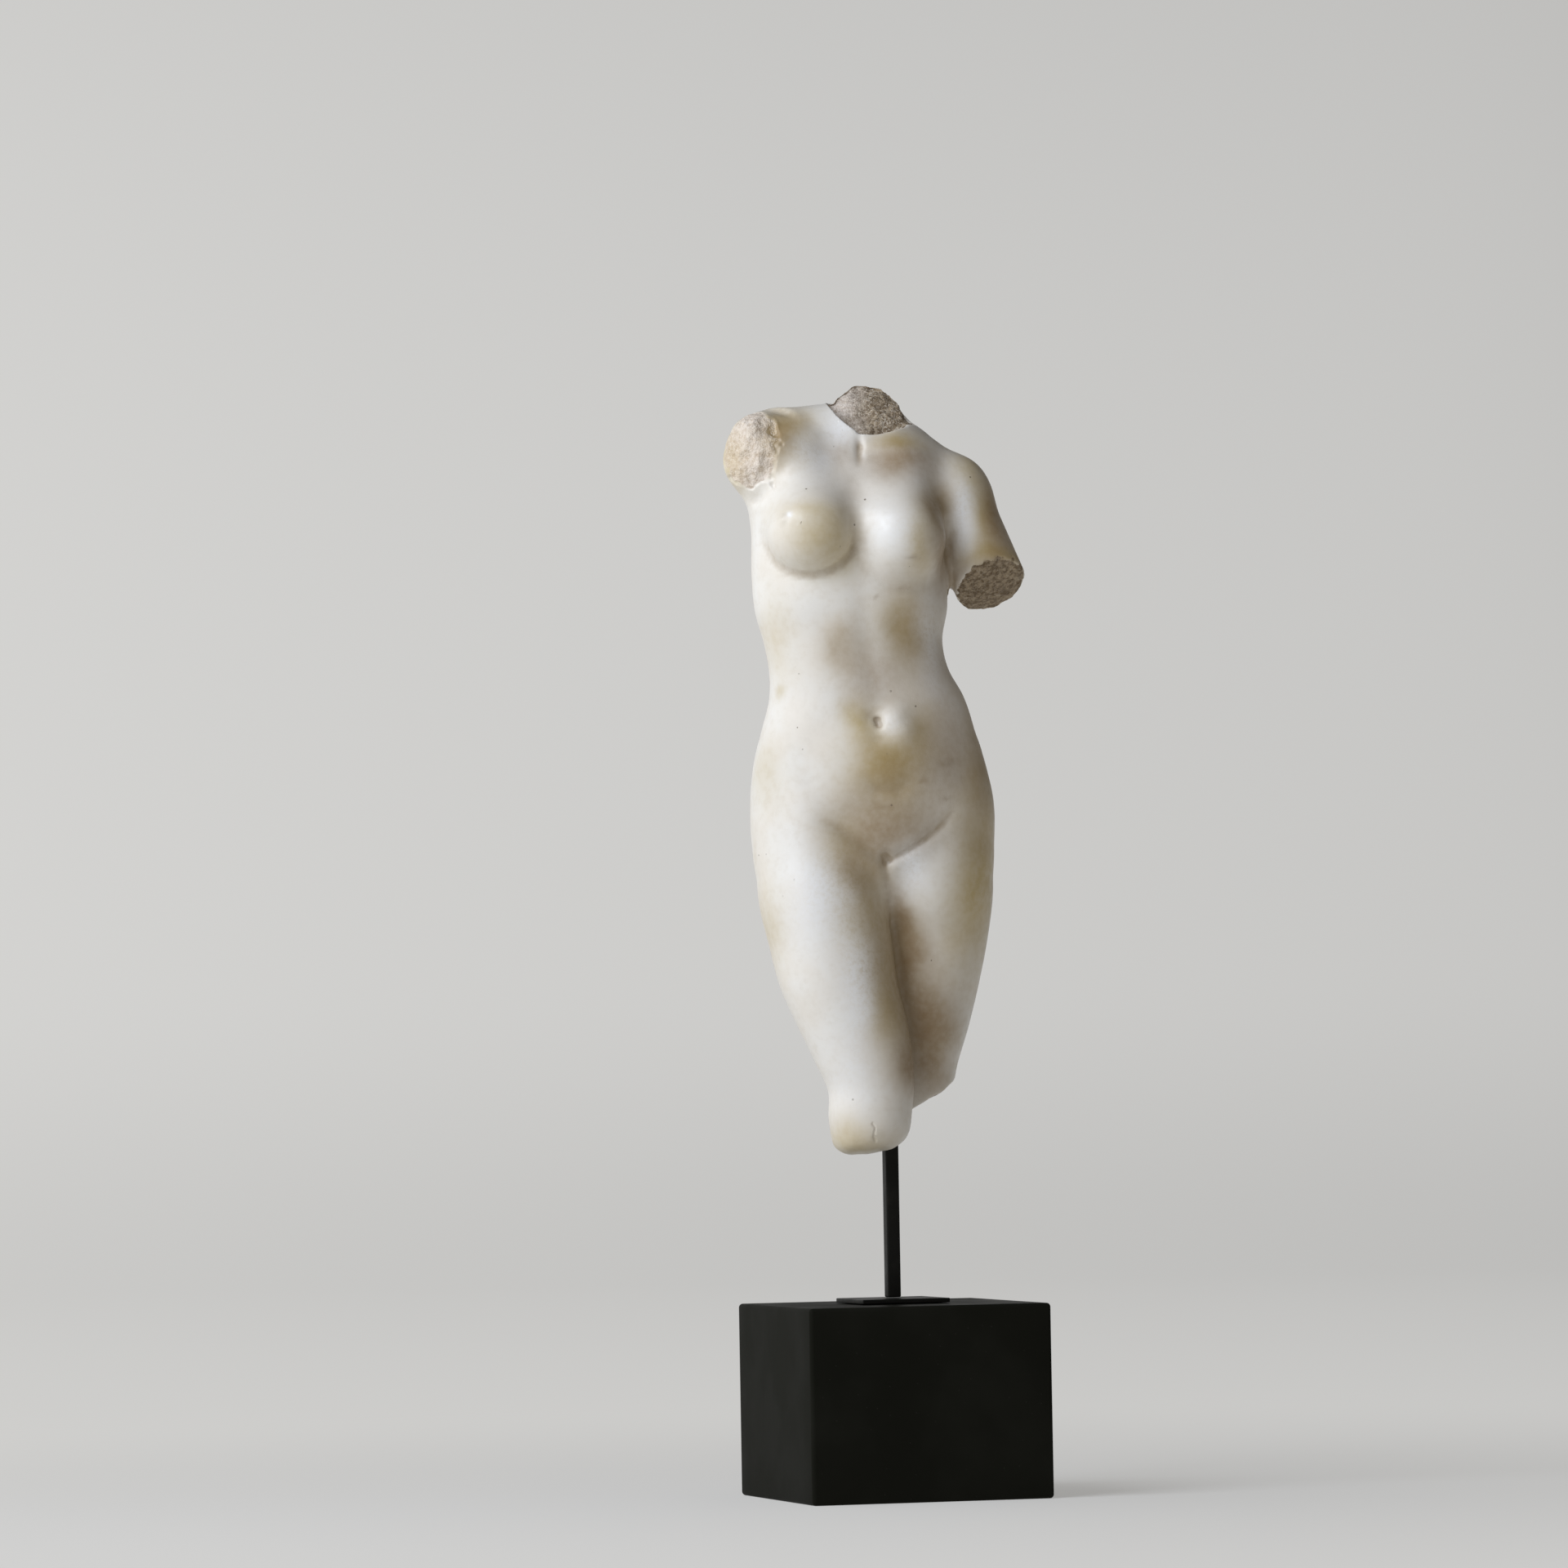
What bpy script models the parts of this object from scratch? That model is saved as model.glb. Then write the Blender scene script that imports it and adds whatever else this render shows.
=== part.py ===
"""A torso statuette on a stand: a broken classical torso in cast stone, held up by a square
rod that stands on a thin plate on a square block. Metres, +Z up, +X to the viewer's right,
front towards -Y. The origin is the middle of the block's underside."""

import math

import bmesh
import bpy
import numpy as np

# Driving dimensions
BLOCK_WIDTH = 0.110
BLOCK_HEIGHT = 0.085
BLOCK_EDGE_RADIUS = 0.0018
PLATE_WIDTH = 0.040
PLATE_THICKNESS = 0.002
PLATE_EDGE_RADIUS = 0.0004
ROD_WIDTH = 0.006
ROD_EDGE_RADIUS = 0.0008
ROD_EXPOSED = 0.063
SOCKET_DEPTH = 0.022
TORSO_HEIGHT = 0.340
TORSO_TURN = math.radians(-8.5)
SEAT_GAP = 0.0003

# How finely the torso is meshed: the first grid, and the share of its faces that is kept
GRID_STEP = 0.0024
KEPT_FACES = 0.19

# The torso is drawn on a scale of 340 parts to its height, from the lowest point of the knee
# stump, with x to the viewer's right, y to the back and the rod's axis at x = y = 0.
PARTS_TALL = 340.0
PART = TORSO_HEIGHT / PARTS_TALL

# Trunk sections: height, middle x, middle y, half width, depth in front, depth behind
TRUNK = (
    (112, -3, 15, 30, 18, 24),
    (124, -3, 15, 45, 26, 32),
    (138, -3.1, 15, 49.6, 30, 34),
    (152, -3.1, 14, 51.1, 31, 33),
    (170, -4.5, 13, 50.5, 31.5, 29),
    (187, -5, 11, 47.5, 31, 25),
    (202, -5.8, 9, 43.2, 29, 23),
    (214, -9.1, 8, 39.9, 27.5, 23),
    (226, -11.3, 8, 39.7, 27.5, 24.5),
    (240, -11.8, 9, 42.7, 28.5, 27),
    (256, -11.7, 11, 43.8, 29.5, 30),
    (274, -13, 13, 42, 29, 31.5),
    (292, -13, 15, 42, 26, 30),
    (306, -10, 17, 38, 20, 25),
    (318, -5, 18, 26, 13, 18),
)
TRUNK_SQUARENESS = 2.25

# Leg sections in the same order
FRONT_LEG = (
    (-6, -9.2, -7, 17.3, 17, 17),
    (8, -9.4, -7, 17.8, 18, 18),
    (16, -9.8, -7, 18.3, 18.5, 18.5),
    (28, -9.2, -7, 19, 18.5, 19),
    (40, -11.7, -6.5, 21.5, 19.5, 20.5),
    (56, -16.3, -5, 24.2, 21.5, 22.5),
    (74, -21.8, -2, 26, 24.5, 25),
    (92, -24.6, 2, 27.1, 27, 27),
    (112, -27.5, 6, 28, 29, 29),
    (134, -29, 10, 26.5, 29, 31),
    (158, -28.5, 13, 25.5, 26, 30),
    (176, -27, 13, 22, 20, 24),
)
REAR_LEG = (
    (4, 13, 21, 16.5, 17, 17),
    (24, 14, 21, 17.4, 17.5, 17.5),
    (38, 14.8, 21, 19, 18.5, 18.5),
    (54, 17.3, 21, 21.5, 20.5, 20.5),
    (74, 20, 20.5, 24, 23.5, 23.5),
    (94, 22, 20, 26.2, 26, 26),
    (114, 23, 19, 27.8, 28, 28.5),
    (136, 22, 17.5, 28, 28.5, 31),
    (158, 21, 15.5, 27, 27, 29),
    (176, 20, 14, 22, 21, 24),
)
LEG_SQUARENESS = 2.1

# A box, in parts, that holds the whole torso
TORSO_LOW = (-78.0, -42.0, -6.0)
TORSO_HIGH = (72.0, 66.0, 352.0)

# The neck is broken off along a slope that faces forwards and up
NECK_BREAK = (-0.3, 15, 331.2)
NECK_FACING = (-0.04, -0.72, 0.69)


def smooth_union(a, b, reach):
    """Joins two solids with a soft fillet of about the given reach."""
    h = np.maximum(reach - np.abs(a - b), 0.0) / reach
    return np.minimum(a, b) - h * h * reach / 4.0


def smooth_cut(a, b, reach):
    """Keeps what lies in both solids, with a softened edge."""
    return -smooth_union(-a, -b, reach)


def ellipsoid(p, centre, radii):
    q = p - np.array(centre, float)
    r = np.array(radii, float)
    k0 = np.linalg.norm(q / r, axis=1)
    k1 = np.linalg.norm(q / (r * r), axis=1)
    return k0 * (k0 - 1.0) / np.maximum(k1, 1e-9)


def limb(p, start, end, start_radius, end_radius):
    """A round limb that tapers from one ball to another."""
    a = np.array(start, float)
    axis = np.array(end, float) - a
    t = np.clip((p - a) @ axis / (axis @ axis), 0.0, 1.0)
    gap = np.linalg.norm(p - a - t[:, None] * axis, axis=1)
    return gap - (start_radius + (end_radius - start_radius) * t)


def eased(z, heights, values):
    """Reads a smooth curve through the stations at the heights z."""
    h = np.array(heights, float)
    v = np.array(values, float)
    slope = np.gradient(v, h)
    i = np.clip(np.searchsorted(h, z) - 1, 0, len(h) - 2)
    step = h[i + 1] - h[i]
    t = np.clip((z - h[i]) / step, 0.0, 1.0)
    t2 = t * t
    t3 = t2 * t
    return (
        (2 * t3 - 3 * t2 + 1) * v[i]
        + (t3 - 2 * t2 + t) * step * slope[i]
        + (3 * t2 - 2 * t3) * v[i + 1]
        + (t3 - t2) * step * slope[i + 1]
    )


def loft(p, stations, squareness):
    """A body of oval sections, one above the other, closed at its first and last station."""
    z = p[:, 2]
    heights, *columns = zip(*stations)
    middle_x, middle_y, half_width, front, back = (eased(z, heights, c) for c in columns)
    x = p[:, 0] - middle_x
    y = p[:, 1] - middle_y
    depth = np.where(y < 0, front, back)
    u = np.abs(x / half_width)
    v = np.abs(y / depth)
    n = squareness
    k = np.maximum((u**n + v**n) ** (1.0 / n), 1e-6)
    slope = k ** (1 - n) * np.hypot(u ** (n - 1) / half_width, v ** (n - 1) / depth)
    side = (k - 1.0) / np.maximum(slope, 0.004)
    ends = np.maximum(heights[0] - z, z - heights[-1])
    return smooth_cut(side, ends, 10.0)


def plane(p, point, normal):
    """Positive on the side that the normal points to."""
    n = np.array(normal, float)
    return (p - np.array(point, float)) @ (n / np.linalg.norm(n))


def ripple(p, length, seed):
    """Smooth uneven relief, about -1 to 1, with lumps of the given length."""
    rng = np.random.default_rng(seed)
    total = np.zeros(len(p))
    waves = 7
    for _ in range(waves):
        direction = rng.normal(size=3)
        direction /= np.linalg.norm(direction)
        total += np.sin(p @ direction * (2 * math.pi / length) + rng.uniform(0, 2 * math.pi))
    return total / math.sqrt(waves)


def broken(p, body, point, normal, reach, dome, seed, uneven=1.0):
    """Breaks the body off within reach of a point, leaving an uneven face that is domed to
    the given radius."""
    away = np.linalg.norm(p - np.array(point, float), axis=1)
    face = plane(p, point, normal) + away**2 / (2.0 * dome)
    face = face + uneven * (0.3 * ripple(p, 14.0, seed) + 0.12 * ripple(p, 7.0, seed + 1))
    return smooth_cut(body, smooth_union(face, reach - away, 4.0), 1.5)


def furrow(p, path, width, depth):
    """A soft furrow along a line of (x, z, strength) points, seen from the front, to be added
    to one side of the body. A negative depth gives a ridge."""
    q = p[:, [0, 2]]
    nearest = np.full(len(p), 1e9)
    strength = np.zeros(len(p))
    for start, end in zip(path[:-1], path[1:]):
        a = np.array(start[:2], float)
        axis = np.array(end[:2], float) - a
        t = np.clip((q - a) @ axis / (axis @ axis), 0.0, 1.0)
        gap = np.linalg.norm(q - a - t[:, None] * axis, axis=1)
        closer = gap < nearest
        strength = np.where(closer, start[2] + (end[2] - start[2]) * t, strength)
        nearest = np.where(closer, gap, nearest)
    return depth * strength * np.exp(-((nearest / width) ** 2))


def on_front(p, edge=6.0, softness=10.0):
    return 1.0 / (1.0 + np.exp((p[:, 1] - edge) / softness * 4.0))


def upper_body(p):
    """The trunk with the shoulders, neck and upper arm, and their three breaks."""
    body = loft(p, TRUNK, TRUNK_SQUARENESS)
    body = smooth_union(body, limb(p, (-4, 19, 321), (-42, 17, 316.6), 14.5, 14), 12)
    body = smooth_union(body, limb(p, (-2, 19, 318), (35, 18, 295.5), 14, 14), 12)
    body = smooth_union(body, limb(p, (-16, 30, 300), (-42, 22, 308), 14, 13), 12)
    body = smooth_union(body, limb(p, (0, 30, 292), (30, 22, 288), 14, 14), 14)
    neck = limb(p, (-3, 19, 300), (-1.5, 17, 345), 15.5, 15)
    neck = broken(p, neck, NECK_BREAK, NECK_FACING, 60, 55, 31, 1.5)
    body = smooth_union(body, neck, 6)
    body = broken(p, body, NECK_BREAK, NECK_FACING, 19.2, 55, 31, 1.5)
    body = smooth_union(body, ellipsoid(p, (-48.5, 13, 309), (19, 18, 18.8)), 10)
    body = broken(p, body, (-58.9, 1.9, 313.9), (-0.65, -0.7, 0.31), 27, 24, 21, 1.8)
    body = smooth_union(body, ellipsoid(p, (-53, 11, 315), (11.5, 13, 13.5)), 3)
    arm = smooth_union(
        ellipsoid(p, (35.5, 17, 292), (16, 16, 17)),
        limb(p, (38.5, 16, 286), (57.6, 7, 234), 15.5, 16.6),
        8,
    )
    arm = broken(p, arm, (52.5, 9, 250), (0.25, -0.57, -0.79), 40, 90, 11)
    return smooth_union(body, arm, 5)


def breasts(p, body):
    """Each is full and sharply set off below, and drawn up towards its shoulder. After the
    side and the middle of each comes the middle of its nipple."""
    for side, middle, tip in (
        (-1, (-31.2, -9.5, 273.8), (-45.2, -20.4, 278.4)),
        (1, (8.0, -9.5, 270.8), (12.5, -24.6, 265.8)),
    ):
        x, _, z = middle
        globe = ellipsoid(p, middle, (19, 18.8, 18.8))
        slope = limb(p, (x, -7, z + 1), (x + 3 * side, 6, z + 32), 17.2, 9)
        above = np.clip((p[:, 2] - z + 6.0) / 18.0, 0.0, 1.0)
        softer = 4.0 if side > 0 else 0.0
        body = smooth_union(body, smooth_union(globe, slope, 8), 2.5 + softer + 7.0 * above)
        body = smooth_union(body, ellipsoid(p, tip, (1.5, 1.5, 1.5)), 2.5)
    return body


def lower_body(p, body):
    """Legs broken off at the knee, buttocks, belly and pubic mound."""
    front_leg = loft(p, FRONT_LEG, LEG_SQUARENESS)
    stump = plane(p, (-14, -7, -2.2), (0.2, 0.0, -1.0)) + 0.3 * ripple(p, 9.0, 41)
    front_leg = smooth_cut(front_leg, stump, 15)
    rear_leg = loft(p, REAR_LEG, LEG_SQUARENESS)
    rear_leg = broken(p, rear_leg, (21, 21, 24.5), (0.5, 0.0, -0.86), 60, 400, 51)
    legs = smooth_union(front_leg, rear_leg, 4)
    body = smooth_union(body, legs, 12)
    body = smooth_union(body, ellipsoid(p, (22, 6, 124), (20, 19.5, 27)), 9)
    body = smooth_union(body, ellipsoid(p, (-26, 29, 141), (23, 23, 25)), 10)
    body = smooth_union(body, ellipsoid(p, (18, 30, 146), (23, 23, 25)), 10)
    body = smooth_union(body, ellipsoid(p, (-1, -2, 170), (27, 20, 23)), 14)
    return smooth_union(body, ellipsoid(p, (0, -2.2, 142), (18, 15.5, 15)), 12)


def carving(p):
    """Furrows and ridges of the front and the back, in parts of depth."""
    front = on_front(p)
    notch = furrow(p, ((-8, 318, 0.3), (-8, 312, 1), (-9.5, 302, 0)), 2.0, 1.4)
    midline = furrow(
        p, ((-10, 306, 0), (-12, 290, 0.6), (-12, 258, 0.6), (-9, 222, 1), (-5, 197, 0.6)), 6, 0.9
    )
    ribs = furrow(p, ((-44, 222, 0), (-30, 232, 1), (-14, 247, 0)), 9, 0.7)
    ribs += furrow(p, ((20, 222, 0), (4, 232, 1), (-11, 247, 0)), 9, 0.7)
    navel = furrow(p, ((-5.2, 190, 1), (-4.8, 188.5, 1)), 1.7, 2.2)
    navel += furrow(p, ((-7, 191, 1), (-6, 184, 0.6)), 4.5, 1.3)
    navel += furrow(p, ((3.5, 190.5, 1), (5.5, 186.5, 1)), 6.5, -2.0)
    groin = furrow(p, ((-34, 149, 0), (-24, 143.5, 0.7), (-12, 136, 1), (-2.5, 129.5, 1)), 3.4, 1.7)
    groin += furrow(
        p, ((31, 154, 0), (24, 145, 0.5), (16, 138.5, 1), (8, 133.5, 1), (0.5, 129.5, 1)), 2.2, 1.5
    )
    groin += furrow(p, ((-2, 131, 1), (-1, 114, 0)), 2.2, 1.5)
    fold = furrow(p, ((-15, 166, 0), (-7, 160.5, 1), (3, 159.5, 1), (12, 165, 0)), 3.5, 0.9)
    flank = furrow(p, ((-30, 150, 0), (-37, 163, 0.6), (-47, 178, 0)), 7, 0.8)
    flank += furrow(p, ((30, 152, 0), (34, 165, 0.6), (40, 180, 0)), 7, 0.8)
    collar = furrow(p, ((-16, 314, 0.3), (-28, 318, 1), (-40, 322, 0)), 3.5, -0.8)
    collar += furrow(p, ((-5, 313, 0.3), (12, 310, 1), (28, 308, 0)), 3.5, -0.8)
    spine = furrow(
        p, ((-6, 322, 0), (-11, 300, 0.8), (-13, 262, 0.8), (-9, 214, 1.2), (-6, 176, 0.5)), 5, 2.2
    )
    cleft = furrow(p, ((-5.5, 170, 0), (-4.5, 156, 1), (-3, 124, 1), (-2, 104, 0)), 3.0, 5.5)
    folds = furrow(p, ((-4, 122, 0.7), (-22, 116, 1), (-42, 119, 0)), 3.0, 2.2)
    folds += furrow(p, ((-2, 126, 0.7), (16, 121, 1), (38, 125, 0)), 3.0, 2.2)
    blades = furrow(p, ((-24, 296, 0), (-27, 280, 1), (-38, 268, 0)), 6, -1.8)
    blades += furrow(p, ((3, 294, 0), (5, 278, 1), (16, 266, 0)), 6, -1.8)
    before = notch + midline + ribs + navel + groin + fold + flank + collar
    behind = spine + cleft + folds + blades
    return front * before + (1.0 - front) * behind


def torso_field(p):
    """Signed distance, in parts, to the torso: negative inside the stone."""
    body = lower_body(p, breasts(p, upper_body(p)))
    return body + carving(p)


def fill_pinches(values):
    """Where the solid corners of a grid face touch only across its diagonal, the net would
    pinch itself to a line, so the other two corners become solid too."""
    just_inside = -0.01
    for axis in (0, 1, 2) * 3:
        others = [a for a in range(3) if a != axis]
        corners = []
        for s, t in ((0, 0), (0, 1), (1, 1), (1, 0)):
            part = [slice(None)] * 3
            part[others[0]] = slice(s, values.shape[others[0]] - 1 + s)
            part[others[1]] = slice(t, values.shape[others[1]] - 1 + t)
            corners.append(values[tuple(part)])
        a, b, c, d = (corner < 0 for corner in corners)
        pinched = (a == c) & (b == d) & (a != b)
        for corner in corners:
            corner[pinched & (corner >= 0)] = just_inside


def surface_net(field, low, high, step):
    """Meshes the field's zero surface: one vertex in each grid cell that the surface crosses,
    at the mean of its edge crossings, and one quad across each grid edge that it crosses."""
    counts = [int(math.ceil((b - a) / step)) + 1 for a, b in zip(low, high)]
    axes = [a + step * np.arange(n) for a, n in zip(low, counts)]
    grid = np.stack(np.meshgrid(*axes, indexing="ij"), axis=-1).reshape(-1, 3)
    values = field(grid).reshape(counts)
    fill_pinches(values)
    inside = values < 0
    cells = [n - 1 for n in counts]
    total = np.zeros(cells + [3])
    hits = np.zeros(cells)
    for axis in range(3):
        others = [a for a in range(3) if a != axis]
        for s in (0, 1):
            for t in (0, 1):
                first = [slice(0, -1)] * 3
                first[others[0]] = slice(s, s + cells[others[0]])
                first[others[1]] = slice(t, t + cells[others[1]])
                second = list(first)
                second[axis] = slice(1, None)
                a = values[tuple(first)]
                b = values[tuple(second)]
                crossed = (a < 0) != (b < 0)
                share = np.where(crossed, a / np.where(crossed, a - b, 1.0), 0.0)
                total[..., axis] += share
                total[..., others[0]] += s * crossed
                total[..., others[1]] += t * crossed
                hits += crossed
    active = hits > 0
    index = np.full(cells, -1)
    index[active] = np.arange(active.sum())
    corner = np.argwhere(active)
    points = np.array(low) + step * (corner + total[active] / hits[active][:, None])
    quads = []
    for axis in range(3):
        others = [a for a in range(3) if a != axis]
        first = [slice(1, -1)] * 3
        first[axis] = slice(0, -1)
        second = list(first)
        second[axis] = slice(1, None)
        a = inside[tuple(first)]
        b = inside[tuple(second)]
        where = np.argwhere(a != b)
        solid_first = a[tuple(where.T)]
        where = where + np.array([0 if k == axis else 1 for k in range(3)])
        ring = []
        for s, t in ((0, 0), (1, 0), (1, 1), (0, 1)):
            cell = where.copy()
            cell[:, others[0]] -= 1 - s
            cell[:, others[1]] -= 1 - t
            ring.append(index[tuple(cell.T)])
        quad = np.stack(ring, axis=1)
        inwards = solid_first if axis == 1 else ~solid_first
        quad[inwards] = quad[inwards][:, ::-1]
        quads.append(quad)
    return points, np.concatenate(quads)


def settle(field, points, rounds=4):
    """Moves each point along the field's slope until it lies on the zero surface."""
    small = 0.05
    for _ in range(rounds):
        value = field(points)
        slope = np.empty_like(points)
        for axis in range(3):
            ahead = points.copy()
            ahead[:, axis] += small
            slope[:, axis] = (field(ahead) - value) / small
        size = np.maximum((slope**2).sum(axis=1), 0.2)
        points = points - np.clip(value / size, -1.0, 1.0)[:, None] * slope
    return points


def clear_scene():
    for thing in list(bpy.data.objects):
        bpy.data.objects.remove(thing, do_unlink=True)


def finish(name, colour, roughness, metallic=0.0):
    material = bpy.data.materials.new(name)
    material.use_nodes = True
    shader = material.node_tree.nodes["Principled BSDF"]
    shader.inputs["Base Color"].default_value = (*colour, 1.0)
    shader.inputs["Roughness"].default_value = roughness
    shader.inputs["Metallic"].default_value = metallic
    material.diffuse_color = (*colour, 1.0)
    return material


def add_object(name, mesh, material):
    thing = bpy.data.objects.new(name, mesh)
    bpy.context.scene.collection.objects.link(thing)
    mesh.materials.append(material)
    return thing


def square_bar(name, width, height, edge_radius, material):
    """A square bar standing on z = 0 of its own frame, with its edges rounded."""
    mesh = bpy.data.meshes.new(name)
    shape = bmesh.new()
    bmesh.ops.create_cube(shape, size=1.0)
    bmesh.ops.translate(shape, verts=shape.verts, vec=(0, 0, 0.5))
    bmesh.ops.scale(shape, verts=shape.verts, vec=(width, width, height))
    shape.to_mesh(mesh)
    shape.free()
    bar = add_object(name, mesh, material)
    if edge_radius:
        bevel = bar.modifiers.new("rounded edges", "BEVEL")
        bevel.width = edge_radius
        bevel.segments = 3
    return bar


def build_torso(material):
    points, quads = surface_net(torso_field, TORSO_LOW, TORSO_HIGH, GRID_STEP / PART)
    points = settle(torso_field, points)
    mesh = bpy.data.meshes.new("torso")
    mesh.from_pydata((points * PART).tolist(), [], quads.tolist())
    mesh.shade_smooth()
    torso = add_object("torso", mesh, material)
    fewer = torso.modifiers.new("fewer faces", "DECIMATE")
    fewer.ratio = KEPT_FACES
    return torso


def build():
    clear_scene()
    stone = finish("cast stone", (0.72, 0.67, 0.58), 0.55)
    black_metal = finish("black metal", (0.012, 0.012, 0.012), 0.4, 0.6)
    black_wood = finish("black lacquered wood", (0.012, 0.012, 0.012), 0.45)

    square_bar("base_block", BLOCK_WIDTH, BLOCK_HEIGHT, BLOCK_EDGE_RADIUS, black_wood)

    plate_bottom = BLOCK_HEIGHT + SEAT_GAP
    plate = square_bar("mounting_plate", PLATE_WIDTH, PLATE_THICKNESS, PLATE_EDGE_RADIUS, black_metal)
    plate.location.z = plate_bottom

    rod_bottom = plate_bottom + PLATE_THICKNESS + SEAT_GAP
    stump_bottom = rod_bottom + ROD_EXPOSED
    rod_top = stump_bottom + SOCKET_DEPTH - SEAT_GAP
    rod = square_bar("support_rod", ROD_WIDTH, rod_top - rod_bottom, ROD_EDGE_RADIUS, black_metal)
    rod.location.z = rod_bottom

    torso = build_torso(stone)
    torso.location.z = stump_bottom
    torso.rotation_euler.z = TORSO_TURN

    # The socket is a square hole, wider than the rod by the gap on each side. Its cutter starts
    # well below the stump.
    socket_width = ROD_WIDTH + 2 * SEAT_GAP
    cutter = square_bar("socket cutter", socket_width, 2 * SOCKET_DEPTH, 0.0, stone)
    cutter.location.z = stump_bottom - SOCKET_DEPTH
    cutter.hide_render = True
    cutter.display_type = "WIRE"
    socket = torso.modifiers.new("rod socket", "BOOLEAN")
    socket.operation = "DIFFERENCE"
    socket.object = cutter


build()
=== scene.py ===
"""The looks of a torso statuette on a stand: a broken torso in stained ivory stone on a square
black rod, with a thin plate and a black lacquered block below. Metres, in the frame's axes."""

import math

import bmesh
import bpy
import numpy as np
from mathutils import Matrix, Vector


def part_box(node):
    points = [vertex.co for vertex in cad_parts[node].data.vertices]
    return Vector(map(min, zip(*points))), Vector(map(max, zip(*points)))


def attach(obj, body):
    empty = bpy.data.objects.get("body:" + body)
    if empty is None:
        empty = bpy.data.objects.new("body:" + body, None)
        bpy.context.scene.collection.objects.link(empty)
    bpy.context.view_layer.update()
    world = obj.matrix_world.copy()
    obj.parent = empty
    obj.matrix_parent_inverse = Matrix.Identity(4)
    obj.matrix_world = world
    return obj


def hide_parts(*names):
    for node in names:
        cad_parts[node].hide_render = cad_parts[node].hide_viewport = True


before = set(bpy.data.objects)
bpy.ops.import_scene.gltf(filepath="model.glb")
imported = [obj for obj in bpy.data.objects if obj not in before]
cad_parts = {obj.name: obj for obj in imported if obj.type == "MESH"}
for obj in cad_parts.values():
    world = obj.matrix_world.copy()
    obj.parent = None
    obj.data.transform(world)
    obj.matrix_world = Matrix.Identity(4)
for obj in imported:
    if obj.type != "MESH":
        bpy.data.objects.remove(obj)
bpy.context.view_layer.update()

# The torso is drawn on a scale of 340 parts to its height, from the lowest point of the knee
# stump, with x to the viewer's right, y to the back and the rod's axis at x = y = 0.
TORSO_HEIGHT = 0.340
PARTS_TALL = 340.0
PART = TORSO_HEIGHT / PARTS_TALL
TORSO_TURN = math.radians(-8.5)
SOCKET_DEPTH = 0.022
SEAT_GAP = 0.0003
STUMP_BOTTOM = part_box("support_rod")[1].z + SEAT_GAP - SOCKET_DEPTH

# The first grid in parts, and how many rings of faces round the broken ones are split into
# four each time the mesh is made finer
GRID_STEP = 1.85
FINER_RINGS = ((2, 2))

# Trunk sections: height, middle x, middle y, half width, depth in front, depth behind
TRUNK = (
    (112, -3, 15, 30, 18, 24),
    (124, -3, 15, 45, 26, 32),
    (138, -3.1, 15, 49.6, 30, 34),
    (152, -3.1, 14, 51.1, 31, 33),
    (170, -4.5, 13, 50.5, 31.5, 29),
    (187, -5, 11, 47.5, 31, 25),
    (202, -5.8, 9, 43.2, 29, 23),
    (214, -9.1, 8, 39.9, 27.5, 23),
    (226, -11.3, 8, 39.7, 27.5, 24.5),
    (240, -11.8, 9, 42.7, 28.5, 27),
    (256, -11.7, 11, 43.8, 29.5, 30),
    (274, -13, 13, 42, 29, 31.5),
    (292, -13, 15, 42, 26, 30),
    (306, -10, 17, 38, 20, 25),
    (318, -5, 18, 26, 13, 18),
)
TRUNK_SQUARENESS = 2.25

# Leg sections in the same order
FRONT_LEG = (
    (-6, -9.2, -7, 17.3, 17, 17),
    (8, -9.4, -7, 17.8, 18, 18),
    (16, -9.8, -7, 18.3, 18.5, 18.5),
    (28, -9.2, -7, 19, 18.5, 19),
    (40, -11.7, -6.5, 21.5, 19.5, 20.5),
    (56, -16.3, -5, 24.2, 21.5, 22.5),
    (74, -21.8, -2, 26, 24.5, 25),
    (92, -24.6, 2, 27.1, 27, 27),
    (112, -27.5, 6, 28, 29, 29),
    (134, -29, 10, 26.5, 29, 31),
    (158, -28.5, 13, 25.5, 26, 30),
    (176, -27, 13, 22, 20, 24),
)
REAR_LEG = (
    (4, 13, 21, 16.5, 17, 17),
    (24, 14, 21, 17.4, 17.5, 17.5),
    (38, 14.8, 21, 19, 18.5, 18.5),
    (54, 17.3, 21, 21.5, 20.5, 20.5),
    (74, 20, 20.5, 24, 23.5, 23.5),
    (94, 22, 20, 26.2, 26, 26),
    (114, 23, 19, 27.8, 28, 28.5),
    (136, 22, 17.5, 28, 28.5, 31),
    (158, 21, 15.5, 27, 27, 29),
    (176, 20, 14, 22, 21, 24),
)
LEG_SQUARENESS = 2.1

# A box, in parts, that holds the whole torso
TORSO_LOW = (-78.0, -42.0, -6.0)
TORSO_HIGH = (72.0, 66.0, 352.0)

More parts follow.
